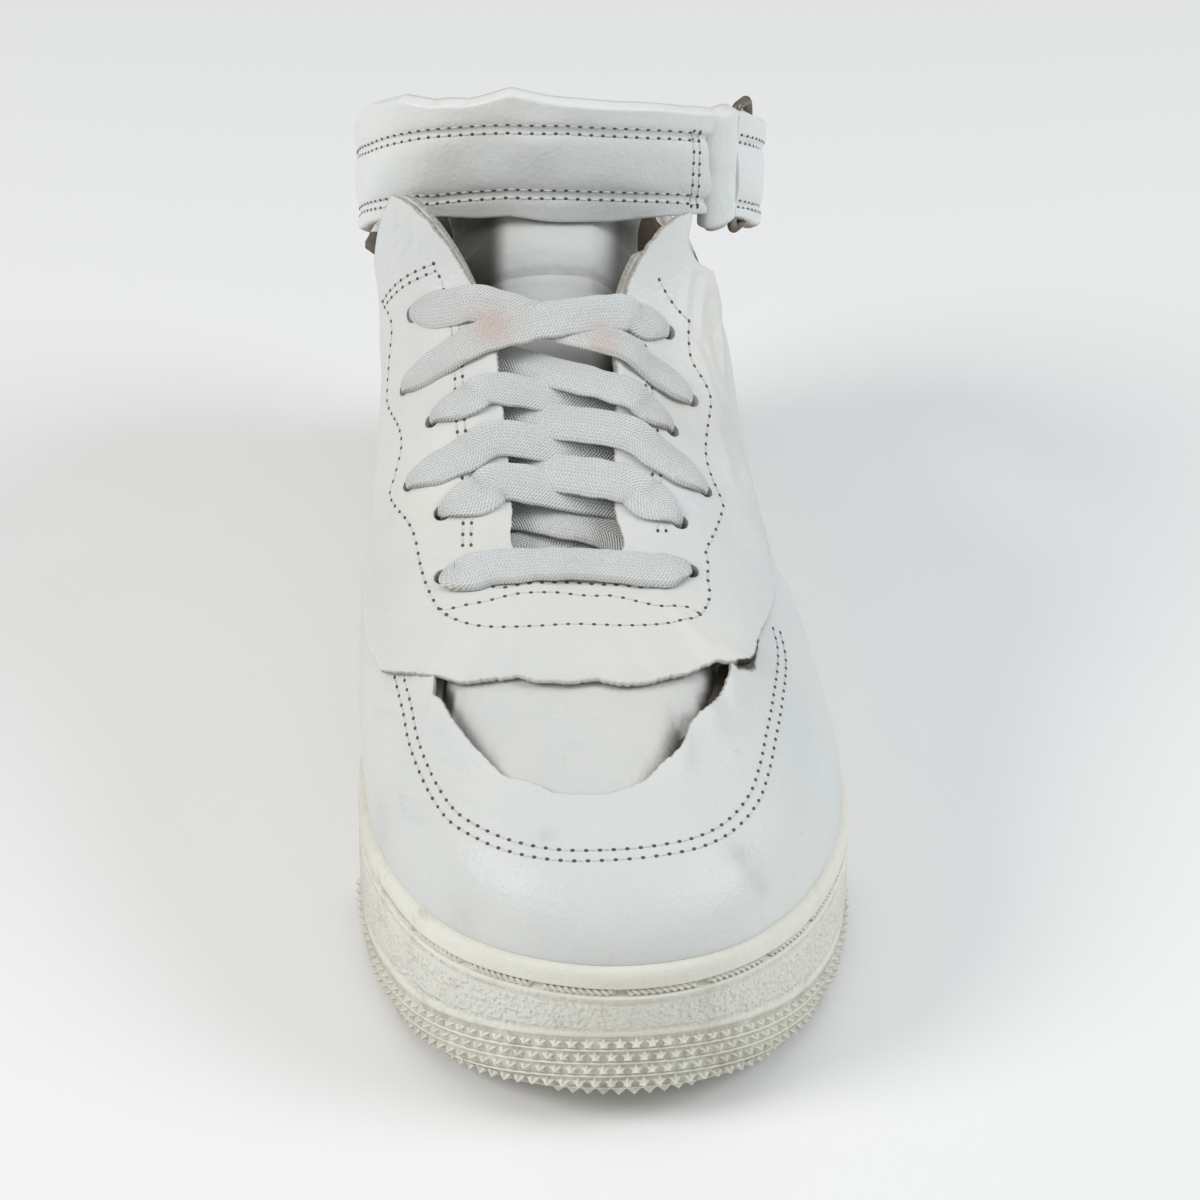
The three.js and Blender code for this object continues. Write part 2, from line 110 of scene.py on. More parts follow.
# Lower raw edge of the leather that carries the laces.
STAY_EDGE = [
    (-6, 0.80), (-5.6, 0.735), (-5.2, 0.70), (-4.7, 0.665), (-4.2, 0.62), (-3.8, 0.585),
    (-3.35, 0.565), (-2.95, 0.61), (-2.6, 0.65), (-2.4, 0.66), (-2.2, 0.665), (-2.05, 0.675),
    (-1.83, 0.703), (-1.68, 0.737), (-1.5, 0.753), (-1.23, 0.758), (-0.95, 0.762), (-0.45, 0.767),
    (-0.15, 0.782), (0.2, 0.775), (0.53, 0.77), (0.9, 0.766), (1.23, 0.747), (1.6, 0.703),
    (2, 0.648), (2.27, 0.597), (2.72, 0.483), (3, 0.45), (3.25, 0.45), (3.85, 0.47),
    (4.6, 0.56), (5.3, 0.63), (6, 0.70),
]
# Torn top edge of the toe leather, up to where it runs in under the lace leather.
TOE_EDGE = [
    (-3.9, 0.60), (-3.35, 0.62), (-2.65, 0.67), (-2.2, 0.70), (-1.95, 0.715), (-1.82, 0.71),
    (-1.68, 0.70), (-1.48, 0.68), (-1.27, 0.663), (-1.05, 0.655), (-0.9, 0.64), (-0.77, 0.607),
    (-0.63, 0.577), (-0.38, 0.553), (-0.12, 0.525), (0.28, 0.513), (0.45, 0.518), (0.58, 0.53),
    (0.88, 0.528), (1.08, 0.547), (1.42, 0.58), (1.82, 0.612), (1.96, 0.607), (2.04, 0.645),
    (2.3, 0.63), (2.6, 0.58), (3.2, 0.50), (4.0, 0.50),
]

# ---- curves and noise --------------------------------------------------------------------


def smooth(x):
    """0 below 0 and 1 above 1, with a soft start and end between."""
    x = np.clip(x, 0, 1)
    return x * x * (3 - 2 * x)


def closed_curve(rows):
    """A closed cubic B-spline through the rows, as a function of the station number."""
    rows = np.array(rows, float)
    controls = rows.copy()
    for _ in range(60):
        controls = (6 * rows - np.roll(controls, 1, 0) - np.roll(controls, -1, 0)) / 4

    def at(u):
        u = np.asarray(u, float) % len(rows)
        i = np.floor(u).astype(int)
        f = (u - i)[..., None]
        weights = ((1 - f) ** 3, 3 * f ** 3 - 6 * f ** 2 + 4, -3 * f ** 3 + 3 * f ** 2 + 3 * f + 1, f ** 3)
        return sum(w * controls[(i + k - 1) % len(rows)] for k, w in enumerate(weights)) / 6
    return at


def open_curve(rows, count):
    """A Catmull-Rom curve through the rows, sampled at count places evenly spread by length."""
    rows = np.array(rows, float)
    ends = np.vstack([2 * rows[0] - rows[1], rows, 2 * rows[-1] - rows[-2]])
    span = np.linspace(0, len(rows) - 1, 24 * len(rows))
    i = np.minimum(span.astype(int), len(rows) - 2)
    f = (span - i)[:, None]
    a, b, c, d = ends[i], ends[i + 1], ends[i + 2], ends[i + 3]
    fine = 0.5 * (2 * b + (c - a) * f + (2 * a - 5 * b + 4 * c - d) * f ** 2
                  + (3 * b - a - 3 * c + d) * f ** 3)
    return evenly(fine, count)


def evenly(points, count):
    """The line through the points, sampled again at count places of equal spacing."""
    run = np.concatenate([[0], np.cumsum(np.linalg.norm(np.diff(points, axis=0), axis=1))])
    places = np.linspace(0, run[-1], count)
    return np.stack([np.interp(places, run, column) for column in points.T], 1)


def ripple(points, size, seed, waves=10):
    """Smooth noise from -1 to 1: a sum of sine waves of about the given length in random directions."""
    rng = np.random.default_rng(seed)
    points = np.asarray(points, float)
    if points.shape[-1] not in (2, 3):
        points = points[..., None]
    total = 0
    for _ in range(waves):
        heading = rng.normal(size=points.shape[-1])
        heading *= rng.uniform(0.6, 1.6) / np.linalg.norm(heading)
        total = total + np.sin(points @ heading * 2 * math.pi / size + rng.uniform(0, 2 * math.pi))
    return total / (0.5 * waves)


outline_at = closed_curve(OUTLINE)
swell_at = closed_curve(SWELL)
over_at = closed_curve(OVER)
opening_at = closed_curve(OPENING)
strap_at = closed_curve(STRAP)


def edge_at(rows):
    """A share along the stations, straight between the listed rows."""
    stations, shares = np.array(rows, float).T
    return lambda u: np.interp(u, stations, shares)


stay_edge = edge_at(STAY_EDGE)
toe_edge = edge_at(TOE_EDGE)


def inset(u, distance):
    """The outline's x and y moved inwards, square to the outline."""
    step = 1e-3
    along = outline_at(np.asarray(u) + step) - outline_at(np.asarray(u) - step)
    along /= np.linalg.norm(along, axis=-1, keepdims=True)
    inward = np.stack([along[..., 1], -along[..., 0]], -1)
    return outline_at(u) + inward * np.asarray(distance, float)[..., None]


def rim(y):
    """Height of the sole's rim: lowest at the ball, higher at the toe and the heel."""
    return 31 + 7.5 * np.clip((-y - 55) / 92, 0, 1.1) ** 2 + 7 * smooth((y + 25) / 170)


def spring(y):
    return TOE_SPRING * np.clip((-y - 88) / 62, 0, 1.1) ** 2 + 2 * np.clip((y - 122) / 28, 0, 1.1) ** 2


def bottom(x, y):
    """Height of the tread: toe spring, a lift at the heel's edge and the arch on the inner side."""
    return spring(y) + ARCH * smooth((y + 45) / 45) * smooth((78 - y) / 45) * smooth((12 - x) / 45)


def wrap(y):
    """How far the bottom rubber climbs over the toe and the heel."""
    return 9 * np.clip((-y - 60) / 90, 0, 1.1) ** 2 + 5 * np.clip((y - 90) / 60, 0, 1.1) ** 2


def parting(x, y):
    return bottom(x, y) + TREAD + wrap(y)


def floor_of(x, y):
    return spring(y) * 0.7 + FOOTBED + HEEL_LIFT * smooth((y + 60) / 130)


def surface(u, t):
    """Outer face of the upper: a cubic from the sole's rim to the edge of the opening."""
    u, t = np.broadcast_arrays(np.asarray(u, float), np.asarray(t, float))
    lean = swell_at(u)
    low = np.concatenate([inset(u, np.full(u.shape, BASE)), (rim(outline_at(u)[..., 1]) + 0.5)[..., None]], -1)
    swollen = np.concatenate([inset(u, BASE - lean[..., 0]), lean[..., 1:]], -1)
    t = t[..., None]
    s = 1 - t
    return s ** 3 * low + 3 * s * s * t * swollen + 3 * s * t * t * over_at(u) + t ** 3 * opening_at(u)


def facing(u, t):
    """Unit vector that faces away from the foot."""
    step = 1e-3
    t = np.clip(t, step, 1 - step)
    along = surface(u + step, t) - surface(u - step, t)
    up = surface(u, t + step) - surface(u, t - step)
    out = np.cross(up, along)
    return out / np.linalg.norm(out, axis=-1, keepdims=True)


def lifted(u, t, distance):
    """A point a distance outside the upper's outer face, or inside when it is negative."""
    u, t, distance = np.broadcast_arrays(*(np.asarray(v, float) for v in (u, t, distance)))
    return surface(u, t) + facing(u, t) * distance[..., None]


# ---- making pieces -----------------------------------------------------------------------


def grid_faces(rows, columns, start=0, wrap_rows=False, wrap_columns=False):
    """Quads between rows of equal length, joined round where a direction wraps."""
    r = np.arange(rows if wrap_rows else rows - 1)
    c = np.arange(columns if wrap_columns else columns - 1)
    r, c = np.meshgrid(r, c, indexing="ij")
    r1, c1 = (r + 1) % rows, (c + 1) % columns
    quads = np.stack([r * columns + c, r * columns + c1, r1 * columns + c1, r1 * columns + c], -1)
    return (quads.reshape(-1, 4) + start).tolist()


def loft(rings, closed=False):
    """Points and faces of a closed form through equal rings; open ends are capped by one face."""
    count, size = rings.shape[:2]
    faces = grid_faces(count, size, wrap_rows=closed, wrap_columns=True)
    if not closed:
        faces.append(list(range(size - 1, -1, -1)))
        faces.append(list(range((count - 1) * size, count * size)))
    return rings.reshape(-1, 3), outward(rings.reshape(-1, 3), faces)


def outward(points, faces):
    """The same faces, turned so that the closed form they make has a positive volume."""
    volume = 0.0
    quads = np.array([f for f in faces if len(f) == 4])
    if len(quads):
        a, b, c, d = (points[quads[:, k]] for k in range(4))
        volume += np.einsum("ij,ij->i", a, np.cross(b, c) + np.cross(c, d)).sum()
    for face in faces:
        if len(face) != 4:
            ring = points[face]
            fan = np.cross(ring[1:-1], ring[2:])
            volume += (fan @ ring[0]).sum()
    return faces if volume > 0 else [f[::-1] for f in faces]


def join(parts):
    """Several (points, faces) forms as one, with the number of the form that each face came from."""
    points, faces, source, start = [], [], [], 0
    for number, (pts, fcs) in enumerate(parts):
        points.append(pts)
        faces.extend([[i + start for i in f] for f in fcs])
        source.extend([number] * len(fcs))
        start += len(pts)
    return np.vstack(points), faces, np.array(source)


def repeated(template, faces, places):
    """One small form set at many places; places holds an origin and three axes for each."""
    origin, ax, ay, az = places
    count, size = len(origin), len(template)
    points = (origin[:, None] + template[None, :, 0, None] * ax[:, None]
              + template[None, :, 1, None] * ay[:, None] + template[None, :, 2, None] * az[:, None])
    offsets = (np.arange(count) * size).tolist()
    return points.reshape(-1, 3), [[i + o for i in f] for o in offsets for f in faces]


def piece(name, points, faces, finishes, stands_for=(), marks=None, material=None, uv=None,
          smooth_shaded=True):
    """One object at the origin, riding on the shoe, from points in millimetres."""
    mesh = bpy.data.meshes.new(name)
    mesh.from_pydata((np.asarray(points) * MM).tolist(), [], faces)
    for finish in finishes:
        mesh.materials.append(finish)
    if material is not None:
        mesh.polygons.foreach_set("material_index", np.asarray(material, np.int32))
    mesh.polygons.foreach_set("use_smooth", np.full(len(faces), smooth_shaded))
    for label, values in (marks or {}).items():
        layer = mesh.attributes.new(label, "FLOAT", "POINT")
        layer.data.foreach_set("value", np.asarray(values, np.float32).ravel())
    if uv is not None:
        corner = np.zeros(len(mesh.loops), np.int32)
        mesh.loops.foreach_get("vertex_index", corner)
        layer = mesh.uv_layers.new(name="along")
        layer.data.foreach_set("uv", np.asarray(uv, np.float32)[corner].ravel())
    mesh.validate()
    mesh.update()
    made = bpy.data.objects.new(name, mesh)
    bpy.context.scene.collection.objects.link(made)
    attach(made, "root")
    if stands_for:
        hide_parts(*stands_for)
    return made


# ---- finishes ----------------------------------------------------------------------------


class Finish:
    """A material under construction: small helpers that add and join its nodes."""

    def __init__(self, name, gloss=0.5, metallic=0.0):
        self.material = bpy.data.materials.new(name)
        self.material.use_nodes = True
        self.nodes = self.material.node_tree.nodes
        self.links = self.material.node_tree.links
        self.shader = self.nodes["Principled BSDF"]
        self.shader.inputs["Specular IOR Level"].default_value = gloss
        self.shader.inputs["Metallic"].default_value = metallic
        self.place = self.add("ShaderNodeTexCoord").outputs["Object"]

    def add(self, kind, **settings):
        node = self.nodes.new(kind)
        for key, value in settings.items():
            setattr(node, key, value)
        return node

    def feed(self, socket, value):
        if isinstance(value, bpy.types.NodeSocket):
            self.links.new(value, socket)
        else:
            socket.default_value = value

    def noise(self, scale, detail=3.0, rough=0.5, vector=None):
        node = self.add("ShaderNodeTexNoise")
        self.feed(node.inputs["Vector"], vector or self.place)
        node.inputs["Scale"].default_value = scale
        node.inputs["Detail"].default_value = detail
        node.inputs["Roughness"].default_value = rough
        return node.outputs["Fac"]

    def cells(self, scale, feature="F1", vector=None, jitter=1.0):
        node = self.add("ShaderNodeTexVoronoi", feature=feature)
        self.feed(node.inputs["Vector"], vector or self.place)
        node.inputs["Scale"].default_value = scale
        node.inputs["Randomness"].default_value = jitter
        return node.outputs["Distance"]

    def ramp(self, value, low, high, to_low=0.0, to_high=1.0):
        node = self.add("ShaderNodeMapRange", interpolation_type="SMOOTHSTEP")
        self.feed(node.inputs["Value"], value)
        for key, number in (("From Min", low), ("From Max", high), ("To Min", to_low), ("To Max", to_high)):
            node.inputs[key].default_value = number
        return node.outputs["Result"]

    def math(self, operation, a, b=0.0):
        node = self.add("ShaderNodeMath", operation=operation)
        self.feed(node.inputs[0], a)
        self.feed(node.inputs[1], b)
        return node.outputs[0]

    def mix(self, share, a, b):
        node = self.add("ShaderNodeMix", data_type="RGBA")
        self.feed(node.inputs["Factor"], share)
        for socket, value in ((node.inputs["A"], a), (node.inputs["B"], b)):
            self.feed(socket, value if isinstance(value, bpy.types.NodeSocket) else (*value, 1.0))
        return node.outputs["Result"]

    def mark(self, label):
        return self.add("ShaderNodeAttribute", attribute_name=label).outputs["Fac"]

    def bump(self, height, strength, distance, after=None):
        node = self.add("ShaderNodeBump")
        self.feed(node.inputs["Height"], height)
        node.inputs["Strength"].default_value = strength
        node.inputs["Distance"].default_value = distance
        if after is not None:
            self.feed(node.inputs["Normal"], after)
        return node.outputs["Normal"]

    def finish(self, color, roughness, normal=None):
        self.feed(self.shader.inputs["Base Color"], color if isinstance(color, bpy.types.NodeSocket) else (*color, 1.0))
        self.feed(self.shader.inputs["Roughness"], roughness)
        if normal is not None:
            self.feed(self.shader.inputs["Normal"], normal)
        return self.material


# Brown grey of dirt, also laid on as painted shade where marked.
GRIME_AND_SHADE = (0.29, 0.25, 0.19)
RAW_EDGE = (0.42, 0.39, 0.33)
# Near-black painted shadow for the gaps between layers.
PAINTED_SHADOW = (0.035, 0.028, 0.020)


def leather(name, clean, warm, grain=1.0, roughness=0.42):
    """Smooth white leather: cloudy colour, fine pores and wrinkles, grime and painted shade, raw fibre, and painted gap
    shadow where marked.
    """
    f = Finish(name, gloss=0.45)
    cloud = f.ramp(f.noise(22, 4), 0.35, 0.68)
    color = f.mix(cloud, clean, warm)
    speck = f.math("MULTIPLY", f.ramp(f.noise(260, 5, 0.7), 0.60, 0.78), 0.16)
    color = f.mix(speck, color, GRIME_AND_SHADE)
    # Grime and painted shade where marked.
    rubbed_and_shaded = f.math("MULTIPLY", f.mark("grime_and_shade"), f.ramp(f.noise(140, 6, 0.65), 0.25, 0.75, 0.35, 1.0))
    color = f.mix(rubbed_and_shaded, color, GRIME_AND_SHADE)
    fibre = f.ramp(f.noise(1500, 3, 0.7), 0.35, 0.65)
    color = f.mix(f.mark("raw"), color, f.mix(fibre, RAW_EDGE, (0.66, 0.64, 0.60)))
    # Painted shadow in the gaps between layers, where marked.
    color = f.mix(f.mark("painted_gap_shadow"), color, PAINTED_SHADOW)
    pores = f.math("MULTIPLY", f.cells(1150), -0.6)
    wrinkle = f.ramp(f.noise(420, 5, 0.6), 0.3, 0.7)
    fine = f.bump(f.math("ADD", pores, wrinkle), 0.22 * grain, 0.0004)
    soft = f.bump(f.noise(60, 3), 0.25, 0.0012, fine)
    fuzz = f.bump(f.math("MULTIPLY", fibre, f.mark("raw")), 0.8, 0.0006, soft)
    shine = f.ramp(f.noise(45, 3), 0.3, 0.7, roughness - 0.06, roughness + 0.10)
    dull = f.math("MAXIMUM", shine, f.math("MULTIPLY", f.mark("raw"), 0.9))
    return f.finish(color, dull, fuzz)


def rubber(name, clean, warm, grain):
    """Cream rubber: a leathery grain, uneven yellowing, and dirt and painted shade where marked."""
    f = Finish(name, gloss=0.35)
    color = f.mix(f.ramp(f.noise(16, 4), 0.35, 0.7), clean, warm)
    smear = f.math("MULTIPLY", f.ramp(f.noise(95, 6, 0.7), 0.52, 0.75), 0.35)
    color = f.mix(smear, color, GRIME_AND_SHADE)
    # Dirt and painted shade where marked.
    held_dirt_and_shade = f.math("MULTIPLY", f.mark("grime_and_shade"), f.ramp(f.noise(320, 5, 0.7), 0.2, 0.7, 0.35, 1.0))
    color = f.mix(held_dirt_and_shade, color, (0.20, 0.17, 0.12))
    rough_skin = f.math("MULTIPLY", f.cells(1050, "SMOOTH_F1"), f.mark("grain"))
    pitted = f.math("MULTIPLY", f.noise(900, 4, 0.6), f.mark("grain"))
    skin = f.bump(f.math("ADD", rough_skin, pitted), grain, 0.0008)
    soft = f.bump(f.noise(110, 3), 0.15, 0.0008, skin)
    return f.finish(color, f.ramp(f.noise(70, 4), 0.3, 0.7, 0.5, 0.72), soft)


def woven():
    """Flat cotton lace: a fine slanted weave along its own length, fuzz, faint stains, and a painted shadow line where
    marked.
    """
    f = Finish("lace_weave", gloss=0.2)
    across_along = f.add("ShaderNodeUVMap", uv_map="along").outputs["UV"]
    split = f.add("ShaderNodeSeparateXYZ")
    f.feed(split.inputs[0], across_along)
    across, along = split.outputs[0], split.outputs[1]
    fold = f.math("ABSOLUTE", f.math("SUBTRACT", f.math("FRACT", f.math("MULTIPLY", across, 1.0)), 0.5))
    slant = f.math("ADD", f.math("MULTIPLY", along, 1.35), f.math("MULTIPLY", fold, 9.0))
    yarn = f.math("SINE", f.math("MULTIPLY", slant, 2 * math.pi))
    warp = f.math("SINE", f.math("MULTIPLY", across, 2 * math.pi * 11))
    cloth = f.math("ADD", f.math("MULTIPLY", yarn, 0.6), f.math("MULTIPLY", warp, 0.25))
    pick = f.ramp(cloth, -0.9, 0.9)
    color = f.mix(pick, (0.62, 0.64, 0.63), (0.82, 0.85, 0.85))
    color = f.mix(f.math("MULTIPLY", f.ramp(f.noise(55, 3), 0.45, 0.7), 0.25), color, (0.62, 0.60, 0.55))
    color = f.mix(f.mark("stain"), color, (0.66, 0.50, 0.44))
    # Painted shadow along the lace's marked edge.
    color = f.mix(f.math("MULTIPLY", f.mark("grime_and_shade"), 0.8), color, (0.25, 0.21, 0.14))
    fuzz = f.noise(2600, 3, 0.7)
    weave = f.bump(f.math("ADD", cloth, f.math("MULTIPLY", fuzz, 0.8)), 0.75, 0.0003)
    return f.finish(color, 0.85, weave)


def thread(name, color):
    """Sewing thread or rope: fine slanted plies by noise, matt."""
    f = Finish(name, gloss=0.25)
    shade = f.mix(f.ramp(f.noise(700, 4, 0.6), 0.3, 0.7), color, tuple(0.82 * c for c in color))
    return f.finish(f.mix(f.math("MULTIPLY", f.ramp(f.noise(60, 3), 0.5, 0.75), 0.3), shade, GRIME_AND_SHADE), 0.7,
                    f.bump(f.noise(3000, 2), 0.4, 0.0002))


def needle_hole_shadow():
    """Painted shade of a needle hole's dark inside, darkened also by the grime that gathers in it."""
    f = Finish("needle_hole_shadow", gloss=0.1)
    return f.finish(f.mix(f.noise(400, 3), (0.07, 0.065, 0.06), (0.16, 0.15, 0.14)), 0.9)


def lining():
    """Soft textile lining, painted dark brown grey as the shade inside the shoe."""
    f = Finish("lining", gloss=0.15)
    color = f.mix(f.ramp(f.noise(35, 5), 0.3, 0.7), (0.10, 0.085, 0.065), (0.20, 0.175, 0.14))
    return f.finish(color, 0.9, f.bump(f.cells(1400), 0.5, 0.0004))


def tarnished():
    """Dull dark metal with rust-brown blotches."""
    f = Finish("tarnished_metal", metallic=0.85)
    color = f.mix(f.ramp(f.noise(180, 5), 0.35, 0.65), (0.16, 0.13, 0.11), (0.30, 0.26, 0.21))
    return f.finish(color, f.ramp(f.noise(300, 4), 0.3, 0.7, 0.35, 0.6), f.bump(f.noise(900, 4), 0.3, 0.0004))


toe_leather = leather("toe_leather", (0.655, 0.68, 0.675), (0.69, 0.70, 0.675))
stay_leather = leather("stay_leather", (0.655, 0.675, 0.67), (0.71, 0.705, 0.67))
vamp_leather = leather("vamp_leather", (0.635, 0.65, 0.64), (0.68, 0.68, 0.65), 1.2)
soft_leather = leather("strap_leather", (0.74, 0.77, 0.765), (0.76, 0.765, 0.74), 0.9, 0.36)
tongue_leather = leather("tongue_leather", (0.61, 0.63, 0.62), (0.65, 0.65, 0.62), 0.9, 0.38)
cup_rubber = rubber("cup_rubber", (0.81, 0.81, 0.74), (0.78, 0.765, 0.68), 1.0)
tread_rubber = rubber("tread_rubber", (0.84, 0.84, 0.76), (0.78, 0.765, 0.67), 0.35)
lace_weave = woven()
white_thread = thread("white_thread", (0.72, 0.73, 0.71))
rope_thread = thread("rope_thread", (0.78, 0.76, 0.68))
hole_shadow = needle_hole_shadow()
lining_painted_dark = lining()
ring_metal = tarnished()

# ---- sole --------------------------------------------------------------------------------
AROUND = 800
round_shoe = np.arange(AROUND) * STATIONS / AROUND


def sole_ring(distance, height, u=round_shoe):
    """One ring of the sole: so far inside the outline, at a height that depends on x and y."""
    xy = inset(u, np.broadcast_to(distance, u.shape))
    z = height(xy[:, 0], xy[:, 1]) if callable(height) else height
    return np.concatenate([xy, np.broadcast_to(z, u.shape)[:, None]], 1)


# Section of the cup's rim and stitch groove: how far in, and how far below the rim.
RIM_SECTION = [
    (LIP + 0.5, 1.5), (LIP + 0.5, -0.8), (3.3, -0.75), (2.7, -0.5), (2.0, -0.2), (1.3, 0.1), (0.8, 0.45),
    (0.4, 0.95), (0.15, 1.6), (0, 2.4),
    (0, 3.9), (0.1, 4.5), (0.5, 4.8), (1.0, 5.0), (1.3, 5.3), (1.4, 5.7), (1.2, 6.1), (0.7, 6.3),
    (0.15, 6.4), (-0.25, 6.75), (-0.2, 7.2), (0.05, 7.6),
]
GROOVE = 5.6         # how far the middle of the stitch groove is below the rim


def make_cup():
    """The cup: inner floor, inner wall, rim section, side band down to the parting line, and its
    underside. Each ring is the outline moved inwards, at a height worked out from x and y."""
    y_line = outline_at(round_shoe)[:, 1]
    x_line = outline_at(round_shoe)[:, 0]
    top, low = rim(y_line), parting(x_line, y_line) - 0.3
    rings = [sole_ring(CORE, floor_of), sole_ring(12, floor_of), sole_ring(LIP, floor_of)]
    # Per ring: darker in the stitch groove, on the lip next to the leather, on the rim's top, on the band's first ring
    # under the rim, and towards the parting line.
    grime_and_shade = [0, 0, 0]
    grain = [0, 0, 0]
    for distance, drop in RIM_SECTION:
        rings.append(sole_ring(distance, top - drop))
        grime_and_shade.append(0.6 * math.exp(-((drop - GROOVE) / 0.6) ** 2) + 0.30 * (distance > 2.8) + 0.09 * (drop < 4.4))
        grain.append(0.12 if drop < 7.2 else 0.6)
    band = 18
    for k in range(1, band + 1):
        share = k / band
        bulge = -0.25 * math.sin(math.pi * share)
        rings.append(sole_ring(bulge, top - 7.6 + (low - top + 7.6) * share))
        grime_and_shade.append(0.03 + 0.2 * smooth((share - 0.9) / 0.1) + 0.15 * (k == 1))
        grain.append(float(smooth(k / 3)) * (1 - 0.75 * float(smooth((share - 0.72) / 0.1))))
    rings.append(sole_ring(0.5, low - 0.05))
    rings.append(sole_ring(3.0, low + 0.6))
    rings.append(sole_ring(3.2, lambda x, y: bottom(x, y) + TREAD + GAP))
    rings.append(sole_ring(12, lambda x, y: bottom(x, y) + TREAD + GAP))
    rings.append(sole_ring(CORE, lambda x, y: bottom(x, y) + TREAD + GAP))
    grime_and_shade += [0.3, 0.3, 0, 0, 0]
    grain += [0.3, 0, 0, 0, 0]
    rings = np.array(rings)
    worn = ripple(rings[..., :3], 34, 3)[..., None] * np.array([0.12, 0.12, 0.1])
    outer = slice(3, 3 + len(RIM_SECTION) + band)
    rings[outer] += worn[outer]
    points, faces = loft(rings)
    inner_side = smooth((-points[:, 0] - 20) / 30) * smooth((points[:, 1] + 120) / 60)
    marks = {
        "grime_and_shade": np.repeat(grime_and_shade, AROUND) + 0.18 * inner_side,
        "grain": np.repeat(grain, AROUND),
    }
    return piece("cup_sole", points, faces, [cup_rubber], ["midsole"], marks)


EDGE_IN = 3.0        # the bottom edge is rounded over this width and this height
EDGE_UP = 4.0
EDGE_RUN = 5.55      # length of that rounded edge


def wall_below_parting(u, down):
    """Point and outward direction on the bottom rubber's side, a distance down from the parting:
    straight down first, then round a quarter of an ellipse to the tread."""
    x, y = outline_at(u).T
    straight = np.maximum(parting(x, y) - bottom(x, y) - EDGE_UP, 0)
    turn = np.clip((down - straight) / EDGE_RUN, 0, 1) * math.pi / 2
    xy = inset(u, EDGE_IN * (1 - np.cos(turn)))
    z = np.where(turn > 0, bottom(x, y) + EDGE_UP * (1 - np.sin(turn)), parting(x, y) - down)
    side = outline_at(u) - inset(u, np.ones(len(u)))
    out = np.concatenate([side * np.cos(turn)[:, None], -np.sin(turn)[:, None]], 1)
    return np.concatenate([xy, z[:, None]], 1), out / np.linalg.norm(out, axis=1, keepdims=True)


GROOVES_Y = (-104, -92, -80, -68, -56, -44, -32, 92, 104, 116)


def make_tread():
    """The bottom rubber: a side wall with rounded edge, closed on top inside the cup, and a bottom
    grid of straight rungs across the shoe with flex grooves pressed into it."""
    x, y = outline_at(round_shoe).T
    length = parting(x, y) - bottom(x, y) - EDGE_UP + EDGE_RUN
    top = lambda px, py: bottom(px, py) + TREAD
    rings = [sole_ring(CORE, top), sole_ring(12, top), sole_ring(2.8, top), sole_ring(2.6, parting),
             sole_ring(0.35, parting)]
    rows = 22
    rings += [wall_below_parting(round_shoe, length * share)[0] for share in np.linspace(0.02, 1, rows)]
    count = len(rings)
    rings = np.array(rings)
    faces = grid_faces(count, AROUND, wrap_columns=True)
    faces.append(list(range(AROUND)))
    half = AROUND // 2
    left = rings[-1][1:half]
    right = rings[-1][:half:-1]
    share = np.linspace(0, 1, 46)[None, :, None]
    rungs = left[:, None] * (1 - share) + right[:, None] * share
    rungs[..., 2] = bottom(rungs[..., 0], rungs[..., 1])
    near = np.min([np.abs(rungs[..., 1] - g) for g in GROOVES_Y], axis=0)
    pressed = 1.8 * (1 - smooth((near - 1.0) / 0.5)) * (np.abs(rungs[..., 0]) < 43)
    pressed[:, [0, -1]] = 0
    rungs[..., 2] += pressed
    start = count * AROUND
    points = np.vstack([rings.reshape(-1, 3), rungs.reshape(-1, 3)])
    grid = grid_faces(half - 1, 46, start)
    toe_fan = [[(count - 1) * AROUND] + [start + k + 1, start + k] for k in range(45)]
    last = start + (half - 2) * 46
    heel_fan = [[(count - 1) * AROUND + half] + [last + k, last + k + 1] for k in range(45)]
    faces += grid + toe_fan + heel_fan
    # Bottom face: dirt, more in the flex grooves. Side wall: painted shade on the ground between the stars at the toe
    # and heel, a darker line at the parting, and darker towards the bottom edge.
    flat = np.zeros(len(points))
    flat[start:] = 0.35 + 0.5 * (pressed.ravel() > 0.3)
    side = np.zeros((count, AROUND))
    side[4] = 0.3
    starry = smooth((-y - 62) / 10) + smooth((y - 94) / 10)
    side[5:] = 0.08 + 0.5 * starry
    side[-9:] += np.linspace(0.12, 0.45, 9)[:, None]
    flat[:start] = side.ravel()
    made = piece("bottom_rubber", points, faces, [tread_rubber], ["outsole"],
                 {"grime_and_shade": flat, "grain": np.full(len(points), 0.5)})
    weld(made)
    return made


def weld(made):
    """Joins doubled points and turns every face outwards."""
    import bmesh
    work = bmesh.new()
    work.from_mesh(made.data)
    bmesh.ops.remove_doubles(work, verts=work.verts, dist=2e-6)
    bmesh.ops.recalc_face_normals(work, faces=work.faces)
    work.to_mesh(made.data)
    work.free()


STAR_PITCH = 3.25
STAR_ROW = 3.25


